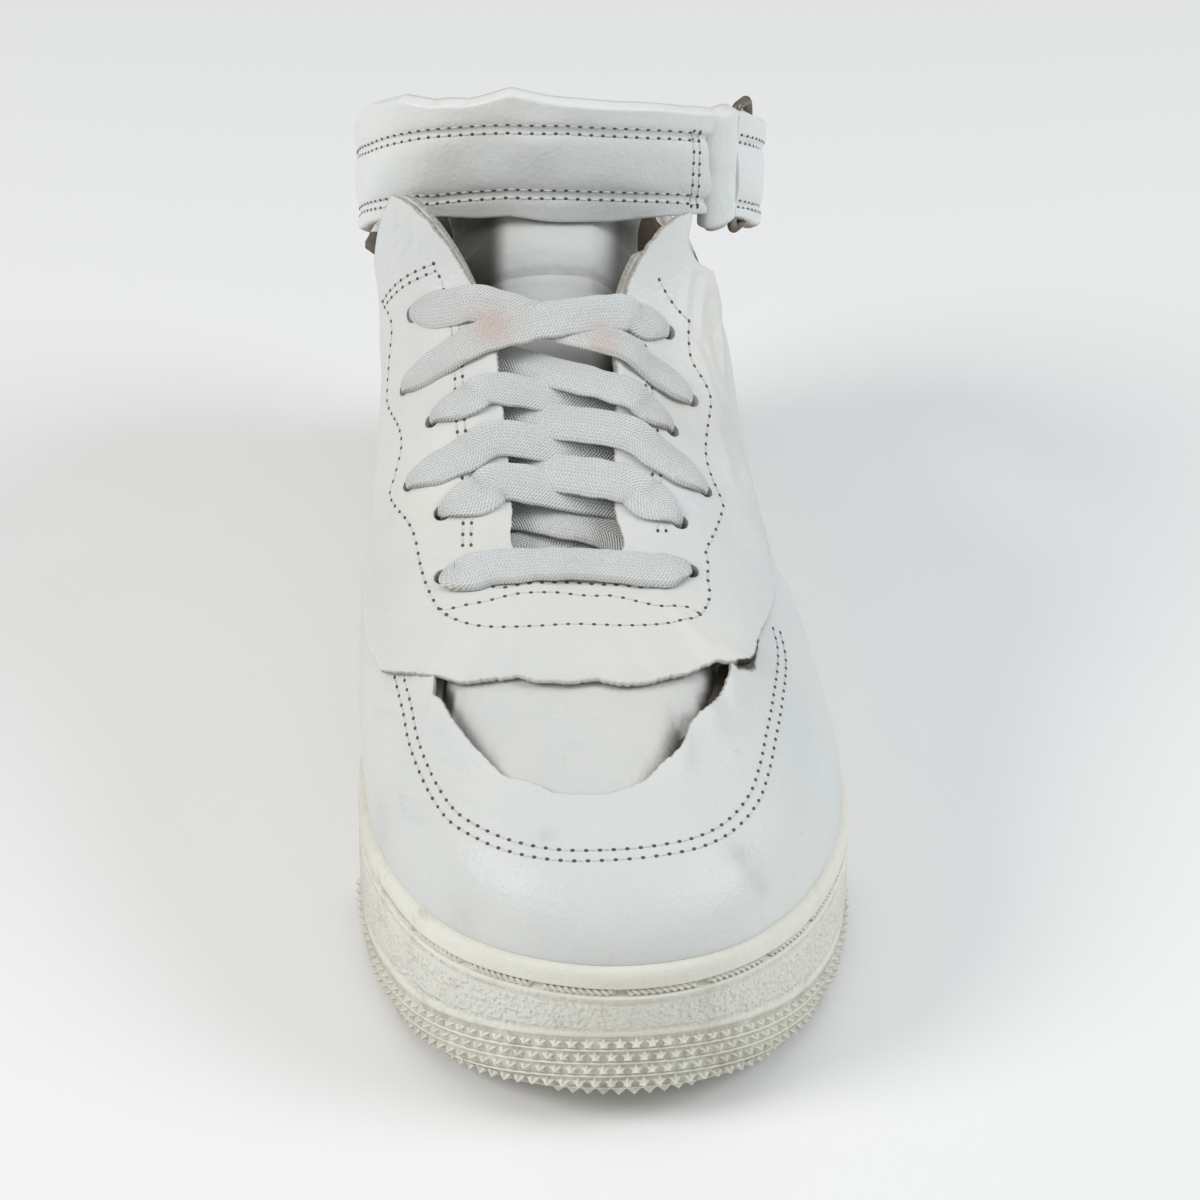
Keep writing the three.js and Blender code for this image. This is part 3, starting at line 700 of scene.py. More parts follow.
def make_stars():
    """Rows of five-pointed pyramids over the toe and heel wraps, each row half a pitch from the last."""
    fine = np.linspace(0, STATIONS, 4000)
    line = outline_at(fine)
    run = np.concatenate([[0], np.cumsum(np.linalg.norm(np.diff(line, axis=0), axis=1))])
    count = int(run[-1] / STAR_PITCH)
    angle = math.pi / 2 + np.arange(10) * math.pi / 5
    radius = np.where(np.arange(10) % 2 == 0, 1.72, 0.80)
    template = np.vstack([
        np.stack([np.cos(angle) * radius, np.sin(angle) * radius, np.full(10, -0.2)], 1), [[0, 0, 1.3]]])
    star_faces = [[k, (k + 1) % 10, 10] for k in range(10)] + [list(range(9, -1, -1))]
    groups = []
    for row in range(7):
        places = (np.arange(count) + 0.5 * (row % 2)) / count * run[-1]
        u = np.interp(places, run, fine)
        x, y = outline_at(u).T
        down = 1.9 + STAR_ROW * row
        reach = parting(x, y) - bottom(x, y) - EDGE_UP + EDGE_RUN
        keep = ((y < -66) | (y > 104)) & (down < reach - 0.9)
        if not keep.any():
            continue
        u = u[keep]
        origin, out = wall_below_parting(u, np.full(len(u), down))
        ahead, _ = wall_below_parting(u + 0.01, np.full(len(u), down))
        along = ahead - origin
        along /= np.linalg.norm(along, axis=1, keepdims=True)
        up = np.cross(out, along)
        up *= np.sign(up[:, 2:] + 1e-9)
        groups.append(repeated(template, star_faces, (origin, np.cross(up, out), up, out)))
    points, faces, _ = join(groups)
    ridges = []
    for row in range(4):
        u = np.arange(400) * STATIONS / 400
        y = outline_at(u)[:, 1]
        centre, out = wall_below_parting(u, np.full(400, 1.9 + STAR_ROW * (row + 0.5)))
        shown = smooth((-y - 62) / 10) + smooth((y - 98) / 10)
        up = np.cross(out, np.roll(centre, -1, 0) - centre)
        up /= np.linalg.norm(up, axis=1, keepdims=True)
        turn = np.arange(6) * math.pi / 3
        ring = (centre + out * (0.1 * shown - 0.6 * (1 - shown))[:, None])[:, None] + 0.22 * (
            np.cos(turn)[None, :, None] * out[:, None] + np.sin(turn)[None, :, None] * up[:, None])
        ridges.append(loft(ring, closed=True))
    stars = len(points)
    points, faces, _ = join([(points, faces)] + ridges)
    # Painted shade at each pyramid's foot, none at its tip or on the ridges; all of it darker towards the bottom.
    low = np.clip((14 - points[:, 2]) / 14, 0, 1)
    tip = np.arange(len(points)) % 11 == 10
    tip[stars:] = True
    marks = {"grime_and_shade": 0.30 * low + np.where(tip, 0, 0.2), "grain": np.zeros(len(points))}
    return piece("tread_stars", points, faces, [tread_rubber], (), marks, smooth_shaded=False)


def make_sole_stitches():
    """Forty long stitches in the groove round the cup. Each is two plies wound round each other
    along a line that dips into a hole at both ends."""
    count, steps, sides = 40, 44, 7
    fine = np.linspace(0, STATIONS, 4000)
    line = outline_at(fine)
    run = np.concatenate([[0], np.cumsum(np.linalg.norm(np.diff(line, axis=0), axis=1))])
    pitch = run[-1] / count
    forms = []
    for k in range(count):
        places = pitch * (k + np.linspace(0.035, 0.965, steps))
        u = np.interp(places % run[-1], run, fine)
        share = np.linspace(0, 1, steps)
        dip = 1.6 * (smooth(1 - share / 0.07) + smooth(1 - (1 - share) / 0.07))
        xy = inset(u, 0.72 + dip)
        centre = np.concatenate([xy, (rim(outline_at(u)[:, 1]) - GROOVE)[:, None]], 1)
        side = outline_at(u) - inset(u, np.ones(steps))
        out = np.concatenate([side, np.zeros((steps, 1))], 1)
        up = np.tile([0.0, 0.0, 1.0], (steps, 1))
        twist = places / 3.0 * 2 * math.pi
        for ply in (0, math.pi):
            heart = centre + 0.36 * (np.cos(twist + ply)[:, None] * out + np.sin(twist + ply)[:, None] * up)
            ring = np.arange(sides) * 2 * math.pi / sides
            tube = heart[:, None] + 0.46 * (np.cos(ring)[None, :, None] * out[:, None]
                                            + np.sin(ring)[None, :, None] * up[:, None])
            forms.append(loft(tube))
    points, faces, _ = join(forms)
    return piece("sole_stitches", points, faces, [rope_thread])


def make_insole():
    """A thin footbed of rungs across the shoe: flat in the middle, turned up at its edge."""
    margin = BASE + WALL + GAP
    u = np.arange(360) * STATIONS / 360
    ring = sole_ring(margin, floor_of, u)
    left, right = ring[1:180], ring[:180:-1]
    share = np.linspace(0, 1, 40)[None, :, None]
    top = left[:, None] * (1 - share) + right[:, None] * share
    edge = 1 - np.abs(2 * share[..., 0] - 1) ** 6
    y = top[..., 1]
    ends = smooth((y + 143) / 12) * smooth((143 - y) / 12)
    top[..., 2] = floor_of(top[..., 0], y) + GAP + INSOLE + 2.2 * (1 - edge * ends)
    top[..., 2] -= 0.8 * np.exp(-((y - 105) / 28) ** 2 - ((top[..., 0]) / 18) ** 2)
    under = top.copy()
    under[..., 2] = floor_of(top[..., 0], y) + GAP
    rows, columns = top.shape[:2]
    size = rows * columns
    points = np.vstack([top.reshape(-1, 3), under.reshape(-1, 3)])
    faces = grid_faces(rows, columns) + [f[::-1] for f in grid_faces(rows, columns, size)]
    border = ([k for k in range(columns)] + [r * columns + columns - 1 for r in range(1, rows)]
              + [size - 1 - k for k in range(1, columns)] + [r * columns for r in range(rows - 2, 0, -1)])
    faces += [[border[k], border[k - 1], border[k - 1] + size, border[k] + size] for k in range(len(border))]
    # The footbed takes the lining's dark painted-shade colour.
    return piece("footbed", points, outward(points, faces), [lining_painted_dark], ["insole"])


# ---- upper -------------------------------------------------------------------------------
# Creases as (path in station and share, depth, width).
CREASES = [
    ([(2.15, 0.22), (1.95, 0.265), (1.7, 0.31), (1.55, 0.33)], 0.55, 1.0),
    ([(2.2, 0.25), (2.0, 0.30), (1.85, 0.33)], 0.3, 0.8),
    ([(2.95, 0.34), (2.75, 0.38), (2.55, 0.43), (2.4, 0.46)], 0.5, 1.1),
    ([(2.9, 0.31), (2.7, 0.34), (2.5, 0.38)], 0.35, 0.9),
    ([(1.75, 0.45), (1.55, 0.47), (1.35, 0.475)], 0.3, 0.8),
    ([(1.7, 0.49), (1.5, 0.50), (1.25, 0.505), (1.05, 0.50)], 0.28, 0.8),
    ([(1.6, 0.42), (1.4, 0.435), (1.2, 0.44)], 0.25, 0.7),
    ([(1.5, 0.53), (1.3, 0.535), (1.1, 0.52)], 0.22, 0.7),
]
VAMP_CREASES = [
    ([(-1.6, 0.70), (-1.0, 0.73), (-0.4, 0.735)], 0.5, 1.4),
    ([(-1.7, 0.64), (-1.3, 0.67), (-0.8, 0.69)], 0.4, 1.2),
    ([(1.7, 0.66), (1.1, 0.70), (0.5, 0.72)], 0.35, 1.3),
    ([(0.4, 0.66), (-0.1, 0.665), (-0.6, 0.66)], 0.2, 1.6),
    ([(-5.5, 0.62), (-5.0, 0.58), (-4.5, 0.55)], 0.7, 2.0),
    ([(-4.9, 0.64), (-4.5, 0.60), (-4.1, 0.56)], 0.6, 1.6),
    ([(-4.2, 0.54), (-3.8, 0.50), (-3.4, 0.47)], 0.5, 2.0),
    ([(4.9, 0.5), (4.5, 0.44), (4.1, 0.40)], 0.5, 2.0),
]
STAY_CREASES = [
    ([(-5.4, 0.78), (-5.1, 0.745), (-4.7, 0.70)], 0.6, 1.6),
    ([(-5.5, 0.83), (-5.2, 0.80), (-4.9, 0.76)], 0.4, 1.2),
    ([(-4.9, 0.70), (-4.5, 0.67), (-4.1, 0.64)], 0.6, 2.2),
    ([(5.75, 0.93), (5.6, 0.88), (5.55, 0.82)], 0.35, 0.9),
    ([(5.85, 0.90), (5.75, 0.85), (5.7, 0.80)], 0.3, 0.8),
    ([(5.65, 0.97), (5.5, 0.93), (5.4, 0.88)], 0.3, 0.8),
    ([(5.3, 0.66), (5.0, 0.62), (4.7, 0.60)], 0.5, 1.6),
    ([(5.8, 0.97), (5.7, 0.93), (5.68, 0.88)], 0.3, 0.7),
    ([(5.5, 0.92), (5.48, 0.88), (5.52, 0.84)], 0.3, 0.7),
    ([(5.6, 0.80), (5.5, 0.76), (5.52, 0.72)], 0.3, 0.8),
    ([(-5.3, 0.74), (-5.0, 0.71), (-4.8, 0.68)], 0.45, 1.0),
    ([(-5.0, 0.76), (-4.8, 0.72), (-4.6, 0.69)], 0.35, 0.9),
    ([(-4.4, 0.70), (-4.2, 0.67), (-4.0, 0.66)], 0.4, 1.2),
]
# Rubbed and soiled patches as (station, share, radius, strength); the last row is painted shade on the flaps below the
# lace leather.
SCUFFS_AND_SHADE = [
    (-1.0, 0.29, 3.2, 0.5), (-1.05, 0.23, 2.6, 0.4), (-1.12, 0.16, 2.2, 0.3), (0.6, 0.51, 1.3, 0.45),
    (0.5, 0.40, 1.9, 0.55), (0.62, 0.395, 1.1, 0.4), (0.35, 0.61, 0.7, 0.35), (0.0, 0.50, 0.7, 0.5),
    (2.3, 0.12, 6, 0.22), (-1.75, 0.27, 0.8, 0.35), (-1.5, 0.14, 1.3, 0.25), (1.2, 0.05, 5, 0.2),
    (-2.6, 0.08, 5, 0.2), (3.4, 0.1, 9, 0.25), (8.6, 0.2, 12, 0.25), (-7.4, 0.15, 12, 0.22),
    (-5.2, 0.68, 10, 0.42), (-4.6, 0.62, 8, 0.40), (-3.9, 0.58, 7, 0.3), (5.2, 0.6, 8, 0.2),
]


def crease_relief(points, creases):
    """Soft troughs with a low ridge on each side: depth falls off with the square of the distance
    to the crease's line, and dies away at its ends."""
    relief = np.zeros(points.shape[:-1])
    for path, depth, width in creases:
        u, t = open_curve(path, 40).T
        line = surface(u, t)
        close = np.linalg.norm(points - line.mean(0), axis=-1) < 25
        gaps = np.linalg.norm(points[close][:, None] - line[None], axis=-1)
        nearest = gaps.argmin(1)
        fade = np.sin(math.pi * (nearest + 0.5) / len(line)) ** 0.5
        far = gaps.min(1) / width
        relief[close] += depth * fade * (0.45 * np.exp(-((far - 1.9) / 0.8) ** 2) - np.exp(-far ** 2))
    return relief


def scuffed_and_shaded(points):
    """Share of grime and painted shade from the listed patches."""
    total = np.zeros(points.shape[:-1])
    for u, t, radius, strength in SCUFFS_AND_SHADE:
        far = np.linalg.norm(points - surface(u, t), axis=-1) / radius
        total += strength * np.exp(-far ** 2)
    return total


def toe_lift(u, t):
    """Height of the toe leather's outer face over the upper: it curls away along its torn edge,
    most on the outer side."""
    from_edge = (toe_edge(u) - t) * 100
    outer = smooth((-u - 0.35) / 0.5) * smooth((u + 2.3) / 0.4)
    inner = smooth((u - 0.9) / 0.8) * smooth((2.5 - u) / 0.3)
    curl = (2.4 * outer * (1 + 0.35 * ripple(np.asarray(u)[..., None] * [1, 0], 0.5, 33)) + 1.5 * inner + 0.1) * np.exp(-(np.clip(from_edge, 0, None) / 5.5) ** 2)
    face = surface(u, t)
    return GAP + OVERLAY + curl + crease_relief(face, CREASES) + 0.10 * ripple(face, 26, 11)


def stay_lift(u, t):
    """Height of the lace leather's outer face: it rides over the toe leather near its lower edge,
    waves along that edge, and flares out at the outer flap."""
    from_edge = (t - stay_edge(u)) * 100
    low = np.exp(-(np.clip(from_edge, 0, None) / 7) ** 2)
    front = smooth((4.1 - np.abs(u)) / 0.5)
    wave = 0.22 * ripple(np.asarray(u)[..., None] * [1, 0], 0.62, 21, 6) * smooth((3.4 - np.abs(u)) / 0.6)
    flap = 4.2 * smooth((-u - 3.4) / 0.8) * smooth((u + 6.05) / 0.5)
    inner_flap = 0.6 * smooth((u - 3.9) / 0.5) * smooth((5.6 - u) / 0.4)
    bare = smooth((2.1 - u) / 0.4) * smooth((u + 1.75) / 0.3)
    ride = (1.9 - 1.5 * bare) * front * np.exp(-(np.clip(from_edge, 0, None) / 12) ** 2)
    corner = 1.3 * np.exp(-((u + 1.95) / 0.25) ** 2)
    spread = np.exp(-(np.clip(from_edge, 0, None) / 13) ** 2)
    face = surface(u, t)
    return (GAP + OVERLAY + ride + (wave * front + corner) * low + (flap + inner_flap) * spread
            + crease_relief(face, STAY_CREASES) + 0.12 * ripple(face, 24, 12))


def sheet_of_leather(u, low, high, rows, face_lift, thick, ragged_low, ragged_high, end_limit=None):
    """A sheet over the upper between two shares: sections at each station, up the outer face, over
    the torn upper edge, back down the inner face, and round the lower edge. Returns the rings,
    and for each ring point whether it lies on a raw edge."""
    spread = np.linspace(0, 1, rows)
    spread = 0.5 * spread + 0.5 * smooth(spread)
    low = low + ragged_low
    high = high + ragged_high
    outer = low[:, None] + (high - low)[:, None] * spread
    back = low[:, None] + (high - low)[:, None] * np.linspace(1, 0, 10)
    bulge = np.array([0.25, 0.55, 0.8])
    column = u[:, None]

    def place(share, sink):
        station = np.broadcast_to(column, share.shape)
        if end_limit is not None:
            squeeze = (end_limit(share) - 5) / (5.97 - 5)
            station = np.where(station < -5, -5 + (station + 5) * squeeze, station)
        return lifted(station, share, face_lift(station, np.minimum(share, 0.999)) - sink)

    def round_edge(share, sign):
        fray = ripple(np.stack([u * 60, u * 0], 1), 3.1, 5)[:, None]
        reach = (0.35 * np.sin(math.pi * bulge) + 0.05 * fray) * sign / 100
        return place(share[:, None] + reach, thick * bulge)
    rings = np.concatenate([place(outer, 0), round_edge(high, 1), place(back, thick), round_edge(low, -1)[:, ::-1]], 1)
    raw = np.concatenate([np.zeros(rows), np.ones(3), np.full(10, 0.8), np.ones(3)])
    raw[rows - 1] = 0.35
    raw[0] = 0.35
    return rings, np.tile(raw, (len(u), 1))


def eyelet_cutter():
    """Twelve pins through the eyelets, square to the upper."""
    u, t = np.array(EYELETS_IN + EYELETS_OUT).T
    inner, outer = lifted(u, t, -8), lifted(u, t, 8)
    forms = []
    for a, b, station, share in zip(inner, outer, u, t):
        along = (surface(station + 0.01, share) - surface(station, share))
        along /= np.linalg.norm(along)
        axis = (b - a) / np.linalg.norm(b - a)
        side = np.cross(axis, along)
        turn = np.arange(20) * math.pi / 10
        ring = 0.88 * EYELET / 2 * (np.cos(turn)[:, None] * along + np.sin(turn)[:, None] * side)
        forms.append(loft(np.array([a + ring, b + ring])))
    points, faces, _ = join(forms)
    mesh = bpy.data.meshes.new("eyelet_cutter")
    mesh.from_pydata((points * MM).tolist(), [], faces)
    made = bpy.data.objects.new("eyelet_cutter", mesh)
    bpy.context.scene.collection.objects.link(made)
    return made


def punch(made, cutter):
    """Cuts the eyelets through a finished shell."""
    cut = made.modifiers.new("eyelets", "BOOLEAN")
    cut.operation = "DIFFERENCE"
    cut.solver = "EXACT"
    cut.object = cutter
    bpy.context.view_layer.update()
    depsgraph = bpy.context.evaluated_depsgraph_get()
    baked = bpy.data.meshes.new_from_object(made.evaluated_get(depsgraph))
    made.modifiers.clear()
    made.data = baked


def drawn_in(u, t):
    """How far the outer side behind the ear has sagged inwards."""
    return 5.5 * smooth((-u - 5.7) / 0.4) * smooth((u + 8.3) / 0.8) * smooth((t - 0.2) / 0.25)


def make_upper():
    """The vamp and quarters: a hollow shell that stands in the cup, with a rolled collar edge.
    Sections at each station: skirt, outer face, half round over the opening's edge, lining."""
    columns = 560
    u = np.arange(columns) * STATIONS / columns
    u = np.where(u > 9, u - 18, u)
    column = u[:, None]
    top = np.interp(u, [-8, -7.7, -7.4, -7.1, -6.8, -6.4, -6.1, -5.9, -5.8, -5.7, -5.6, -5.5, -5.3],
                    [1, 0.97, 0.83, 0.64, 0.55, 0.54, 0.56, 0.61, 0.66, 0.70, 0.76, 0.95, 1])
    t = np.linspace(0, 1, 84)[None] * top[:, None]
    collar = smooth((np.abs(column) - 5.9) / 0.8)
    padding = 2.2 * collar * np.exp(-((t - 0.90) / 0.07) ** 2)
    seam = np.zeros_like(t)
    heel_seam = np.abs(np.abs(column) - 9) * 20
    seam -= 0.5 * np.exp(-(heel_seam / 0.7) ** 2)
    seam -= 0.45 * collar * np.exp(-((t - 0.79) / 0.012) ** 2)
    face = surface(column, t)
    below_tear = np.exp(-((t - toe_edge(column) + 0.01) / 0.055) ** 2)
    outer_tear = smooth((-column - 0.3) / 0.6) * smooth((column + 2.4) / 0.3)
    inner_tear = smooth((column - 1.0) / 0.7) * smooth((2.6 - column) / 0.3)
    sunk = (3.2 * outer_tear + 1.4 * inner_tear) * below_tear
    sunk = sunk + drawn_in(column, t)
    relief = seam - sunk + crease_relief(face, VAMP_CREASES) + 0.15 * ripple(face, 30, 13)
    relief += 0.35 * collar * ripple(face, 42, 14)
    outer = lifted(column, t, relief)
    inner_t = np.linspace(1, 0, 26)[None] * top[:, None]
    padding_in = 3.0 * collar * np.exp(-((inner_t - 0.88) / 0.09) ** 2)
    inner = lifted(column, inner_t, -WALL - padding_in - drawn_in(column, inner_t))
    upwards = surface(column, top[:, None]) - surface(column, top[:, None] - 0.015)
    upwards /= np.linalg.norm(upwards, axis=-1, keepdims=True)
    turn = np.linspace(0, math.pi, 9)[1:-1]
    middle = (outer[:, -1:] + inner[:, :1]) / 2
    half = (outer[:, -1:] - inner[:, :1]) / 2
    radius = np.linalg.norm(half, axis=-1, keepdims=True) * (0.35 + 0.65 * collar[..., None])
    edge = middle + half * np.cos(turn)[None, :, None] + upwards * radius * np.sin(turn)[None, :, None]
    skirt = inset(u, np.full(columns, BASE))
    skirt_z = floor_of(skirt[:, 0], skirt[:, 1]) + GAP
    foot_out = np.concatenate([skirt, skirt_z[:, None]], 1)[:, None]
    skirt_in = inset(u, np.full(columns, BASE + WALL))
    foot_in = np.concatenate([skirt_in, skirt_z[:, None]], 1)[:, None]
    rings = np.concatenate([foot_out, outer, edge, inner, foot_in], 1)
    points, faces = loft(rings, closed=True)
    size = rings.shape[1]
    position = np.tile(np.arange(size), columns)
    first = np.array([f[0] for f in faces])
    others = np.array([max(f[k] % size for k in range(4)) for f in faces])
    inside = (position[first] >= 86 + 7) & (others >= 86 + 6)
    raw_row = (position >= 86) & (position < 85 + 8)
    raw = raw_row * np.repeat(1 - collar.ravel(), size)
    # Grime and painted shade from the patches, and darker along the foot at the rim.
    grime_and_shade = scuffed_and_shaded(points) * (position < 90)
    grime_and_shade += 0.15 * np.exp(-((points[:, 2] - rim(points[:, 1]) - 0.5) / 0.9) ** 2) * (position < 30)
    # Painted shadow in the gaps under the toe leather's torn edge, on the inner quarter behind the ear beneath the
    # strap, and in the slits under the lace leather's flaps.
    above = t - toe_edge(column)
    gap_at = lambda start, stop, ease: smooth((column - start) / ease) * smooth((stop - column) / ease)
    dark = (0.95 * gap_at(-1.95, -1.2, 0.14) * np.exp(-((above - 0.012) / 0.026) ** 4)
            + 0.8 * gap_at(-1.0, -0.66, 0.1) * np.exp(-((above - 0.006) / 0.018) ** 4)
            + 0.95 * gap_at(1.74, 2.08, 0.08) * np.exp(-((above - 0.02) / 0.03) ** 4)
            + 0.22 * gap_at(0.9, 1.8, 0.2) * np.exp(-((above - 0.012) / 0.03) ** 2))
    dark = dark + 0.8 * smooth((column - 5.95) / 0.15) * smooth((7.2 - column) / 0.4) * smooth((t - 0.72) / 0.1)
    below = t - stay_edge(column)
    slit = gap_at(-4.25, -3.65, 0.12) + gap_at(3.9, 4.7, 0.15)
    dark = dark + 0.85 * slit * np.exp(-((below + 0.006) / 0.024) ** 4)
    painted_gap_shadow = np.zeros(rings.shape[:2])
    painted_gap_shadow[:, 1:85] = np.clip(dark, 0, 1)
    # Inner faces take the lining's dark painted-shade colour.
    made = piece("vamp_and_quarters", points, faces, [vamp_leather, lining_painted_dark], ["upper"],
                 {"raw": raw, "grime_and_shade": grime_and_shade, "painted_gap_shadow": painted_gap_shadow.ravel()}, inside.astype(int))
    return made


def make_toe():
    """The toe leather, from the cup's rim up to its torn edge, folded away under the lace leather."""
    u = np.linspace(-3.9, 4.0, 540)
    high = toe_edge(u)
    tear = 0.45 * ripple(u, 0.55, 31) + 0.16 * ripple(u, 0.10, 32)
    rings, raw = sheet_of_leather(u, np.full(len(u), -0.006), high, 96, toe_lift, OVERLAY, 0, tear / 100)
    points, faces = loft(rings)
    grime_and_shade = scuffed_and_shaded(points) + 0.15 * np.exp(-((points[:, 2] - rim(points[:, 1])) / 1.1) ** 2)
    spread = np.linspace(0, 1, 96)
    t = -0.006 + (high[:, None] + 0.006) * (0.5 * spread + 0.5 * smooth(spread))
    # Painted shadow on the toe leather's outer tip, where it runs in under the lace leather.
    painted_gap_shadow = np.zeros(raw.shape)
    tip = smooth((-u - 1.82) / 0.06) * smooth((u + 2.5) / 0.08)
    painted_gap_shadow[:, :96] = 0.95 * tip[:, None] * smooth((t - stay_edge(u)[:, None] + 0.017) / 0.006)
    return piece("toe_leather", points, faces, [toe_leather], ["toe_overlay"],
                 {"raw": raw.ravel(), "grime_and_shade": grime_and_shade, "painted_gap_shadow": painted_gap_shadow.ravel()})


def ear_limit(t):
    """Last station of the lace leather's outer end at each share: it is notched below the ear."""
    return np.interp(t, [0.58, 0.66, 0.72, 0.79, 0.85, 0.90, 0.93, 0.96, 1.0], [5.97, 5.85, 5.69, 5.60, 5.57, 5.64, 5.72, 5.88, 5.97])


def make_stay():
    """The lace leather: from its wavy raw lower edge up to the throat and the tips of both ears."""
    u = np.linspace(-5.97, 5.94, 560)
    tear = 0.22 * ripple(u, 0.7, 41) + 0.14 * ripple(u, 0.12, 42)
    frayed = 0.22 * ripple(u, 0.16, 43) + 0.12 * ripple(u, 0.05, 44)
    reach = 0.027 * smooth((np.abs(u) - 1.7) / 0.5) * smooth((4.9 - np.abs(u)) / 0.6)
    rings, raw = sheet_of_leather(u, stay_edge(u), 0.998 + reach, 90, stay_lift, OVERLAY, tear / 100,
                                  frayed / 100, ear_limit)
    points, faces = loft(rings)
    bare = smooth((2.2 - u) / 0.3) * smooth((u + 1.85) / 0.1)
    torn = smooth((-u - 1.8) / 0.08) * smooth((u + 2.5) / 0.1)
    raw[:, -3:] *= (1 - 0.75 * bare)[:, None]
    raw[:, 0] *= 1 - bare
    # Painted shadow at the outer torn corner, over the lower edge and the rows next to it.
    painted_gap_shadow = np.zeros(raw.shape)
    painted_gap_shadow[:, -4:] = torn[:, None]
    painted_gap_shadow[:, :3] = np.array([1.0, 0.8, 0.3]) * torn[:, None]
    grime_and_shade = 0.10 * smooth(ripple(points, 40, 45)) + 0.5 * scuffed_and_shaded(points)
    return piece("lace_leather", points, faces, [stay_leather], ["lace_stay"],
                 {"raw": raw.ravel(), "grime_and_shade": grime_and_shade, "painted_gap_shadow": painted_gap_shadow.ravel()})


# ---- stitches ----------------------------------------------------------------------------


def stitch_form():
    """One stitch along x: a thin six-sided thread, nearly level with the leather, that dips at
    both ends."""
    reach = np.array([-0.38, -0.30, -0.12, 0.12, 0.30, 0.38])
    rise = np.array([-0.38, -0.16, -0.02, -0.02, -0.16, -0.38])
    girth = np.array([0.14, 0.20, 0.23, 0.23, 0.20, 0.14])
    turn = np.arange(6) * math.pi / 3
    rings = np.stack([
        np.repeat(reach[:, None] * STITCH, 6, 1), girth[:, None] * np.cos(turn),
        rise[:, None] + girth[:, None] * np.sin(turn)], -1)
    return loft(rings)


def hole_form():
    """A flat dark bead, the needle hole's painted shade, that lies in the dimple at each end of a stitch."""
    turn = np.arange(8) * math.pi / 4
    ring = lambda r, z: np.stack([1.3 * r * np.cos(turn), r * np.sin(turn), np.full(8, z)], 1)
    points = np.vstack([ring(0.38, -0.2), ring(0.36, 0.05), ring(0.2, 0.09)])
    faces = grid_faces(3, 8, wrap_columns=True) + [list(range(7, -1, -1)), list(range(16, 24))]
    return points, outward(points, faces)


STITCH_FORM = stitch_form()
HOLE_FORM = hole_form()


def stitched(line, out, phase=0.0):
    """Stitches and needle holes at an even pitch along a line that lies on a face."""
    run = np.concatenate([[0], np.cumsum(np.linalg.norm(np.diff(line, axis=0), axis=1))])
    count = max(int(round(run[-1] / STITCH)), 1)
    ends = np.linspace(0, run[-1], count + 1)

    def frame_at(places):
        origin = np.stack([np.interp(places, run, c) for c in line.T], 1)
        ahead = np.stack([np.interp(places + 0.3, run, c) for c in line.T], 1)
        behind = np.stack([np.interp(places - 0.3, run, c) for c in line.T], 1)
        away = np.stack([np.interp(places, run, c) for c in out.T], 1)
        along = ahead - behind
        along /= np.linalg.norm(along, axis=1, keepdims=True)
        side = np.cross(away, along)
        side /= np.linalg.norm(side, axis=1, keepdims=True)
        return origin, along, side, np.cross(along, side)
    threads = repeated(*STITCH_FORM, frame_at((ends[:-1] + ends[1:]) / 2))
    holes = repeated(*HOLE_FORM, frame_at(ends))
    return threads, holes


def sew(name, rows):
    """One piece with all the rows of stitches of a panel. Each row is (line, outward directions)."""
    forms = [form for line, out in rows for form in stitched(line, out)]
    points, faces, source = join(forms)
    return piece(name, points, faces, [white_thread, hole_shadow], (), None, source % 2)


def row_on(path, lift, shift=0.0):
    """A stitch row through (station, share) places on a face of the given lift, moved sideways
    on that face by shift millimetres."""
    u, t = open_curve(path, 40 * len(path)).T
    face = lift(u, t)
    line = lifted(u, t, face + 0.02)
    out = facing(u, t)
    along = np.gradient(line, axis=0)
    side = np.cross(out, along)
    side /= np.linalg.norm(side, axis=1, keepdims=True)
    return line + side * shift, out


TOE_STITCH = [
    (2.64, 0.53), (2.48, 0.52), (2.27, 0.502), (2.07, 0.465), (1.8, 0.425), (1.6, 0.395), (1.37, 0.367),
    (1.1, 0.357), (0.85, 0.35), (0.45, 0.35),
    (0.05, 0.36), (-0.35, 0.365), (-0.7, 0.37), (-1.0, 0.39), (-1.3, 0.43), (-1.55, 0.48), (-1.85, 0.53),
    (-2.25, 0.555), (-2.75, 0.55), (-2.95, 0.565),
]
STAY_STITCH_IN = [
    (5.5, 0.69), (5.25, 0.72), (5.05, 0.68), (4.85, 0.65), (4.7, 0.645), (4.4, 0.695), (4.2, 0.705),
    (4.05, 0.67), (3.95, 0.64), (3.55, 0.70), (3.3, 0.72), (3.0, 0.72), (2.75, 0.725), (2.45, 0.74),
    (2.3, 0.755),
]
STAY_STITCH_OUT = [
    (-5.1, 0.81), (-4.95, 0.80), (-4.8, 0.785), (-4.65, 0.745), (-4.5, 0.735), (-4.1, 0.76), (-3.9, 0.755), (-3.7, 0.725),
    (-3.55, 0.735), (-2.95, 0.80), (-2.75, 0.80), (-2.6, 0.805), (-2.35, 0.80), (-2.0, 0.815),
]
STAY_ROWS = [
    [(5.26, 0.94), (5.3, 0.90), (5.38, 0.82), (5.44, 0.75), (5.48, 0.70)],
    [(5.26, 0.94), (5.14, 0.935), (4.95, 0.925)],
    [(-5.24, 0.925), (-5.17, 0.88), (-5.12, 0.835), (-5.1, 0.81)],
    [(2.42, 0.745), (1.95, 0.845), (1.3, 0.92), (0.5, 0.95), (-0.3, 0.945), (-0.9, 0.93), (-1.8, 0.86), (-2.0, 0.82)],
    [(2.3, 0.757), (1.6, 0.83), (0.8, 0.875), (-0.1, 0.89), (-1.3, 0.86), (-2.0, 0.815)],
    [(1.75, 0.905), (1.0, 0.955), (0.1, 0.972), (-0.9, 0.955), (-1.6, 0.92)],
]


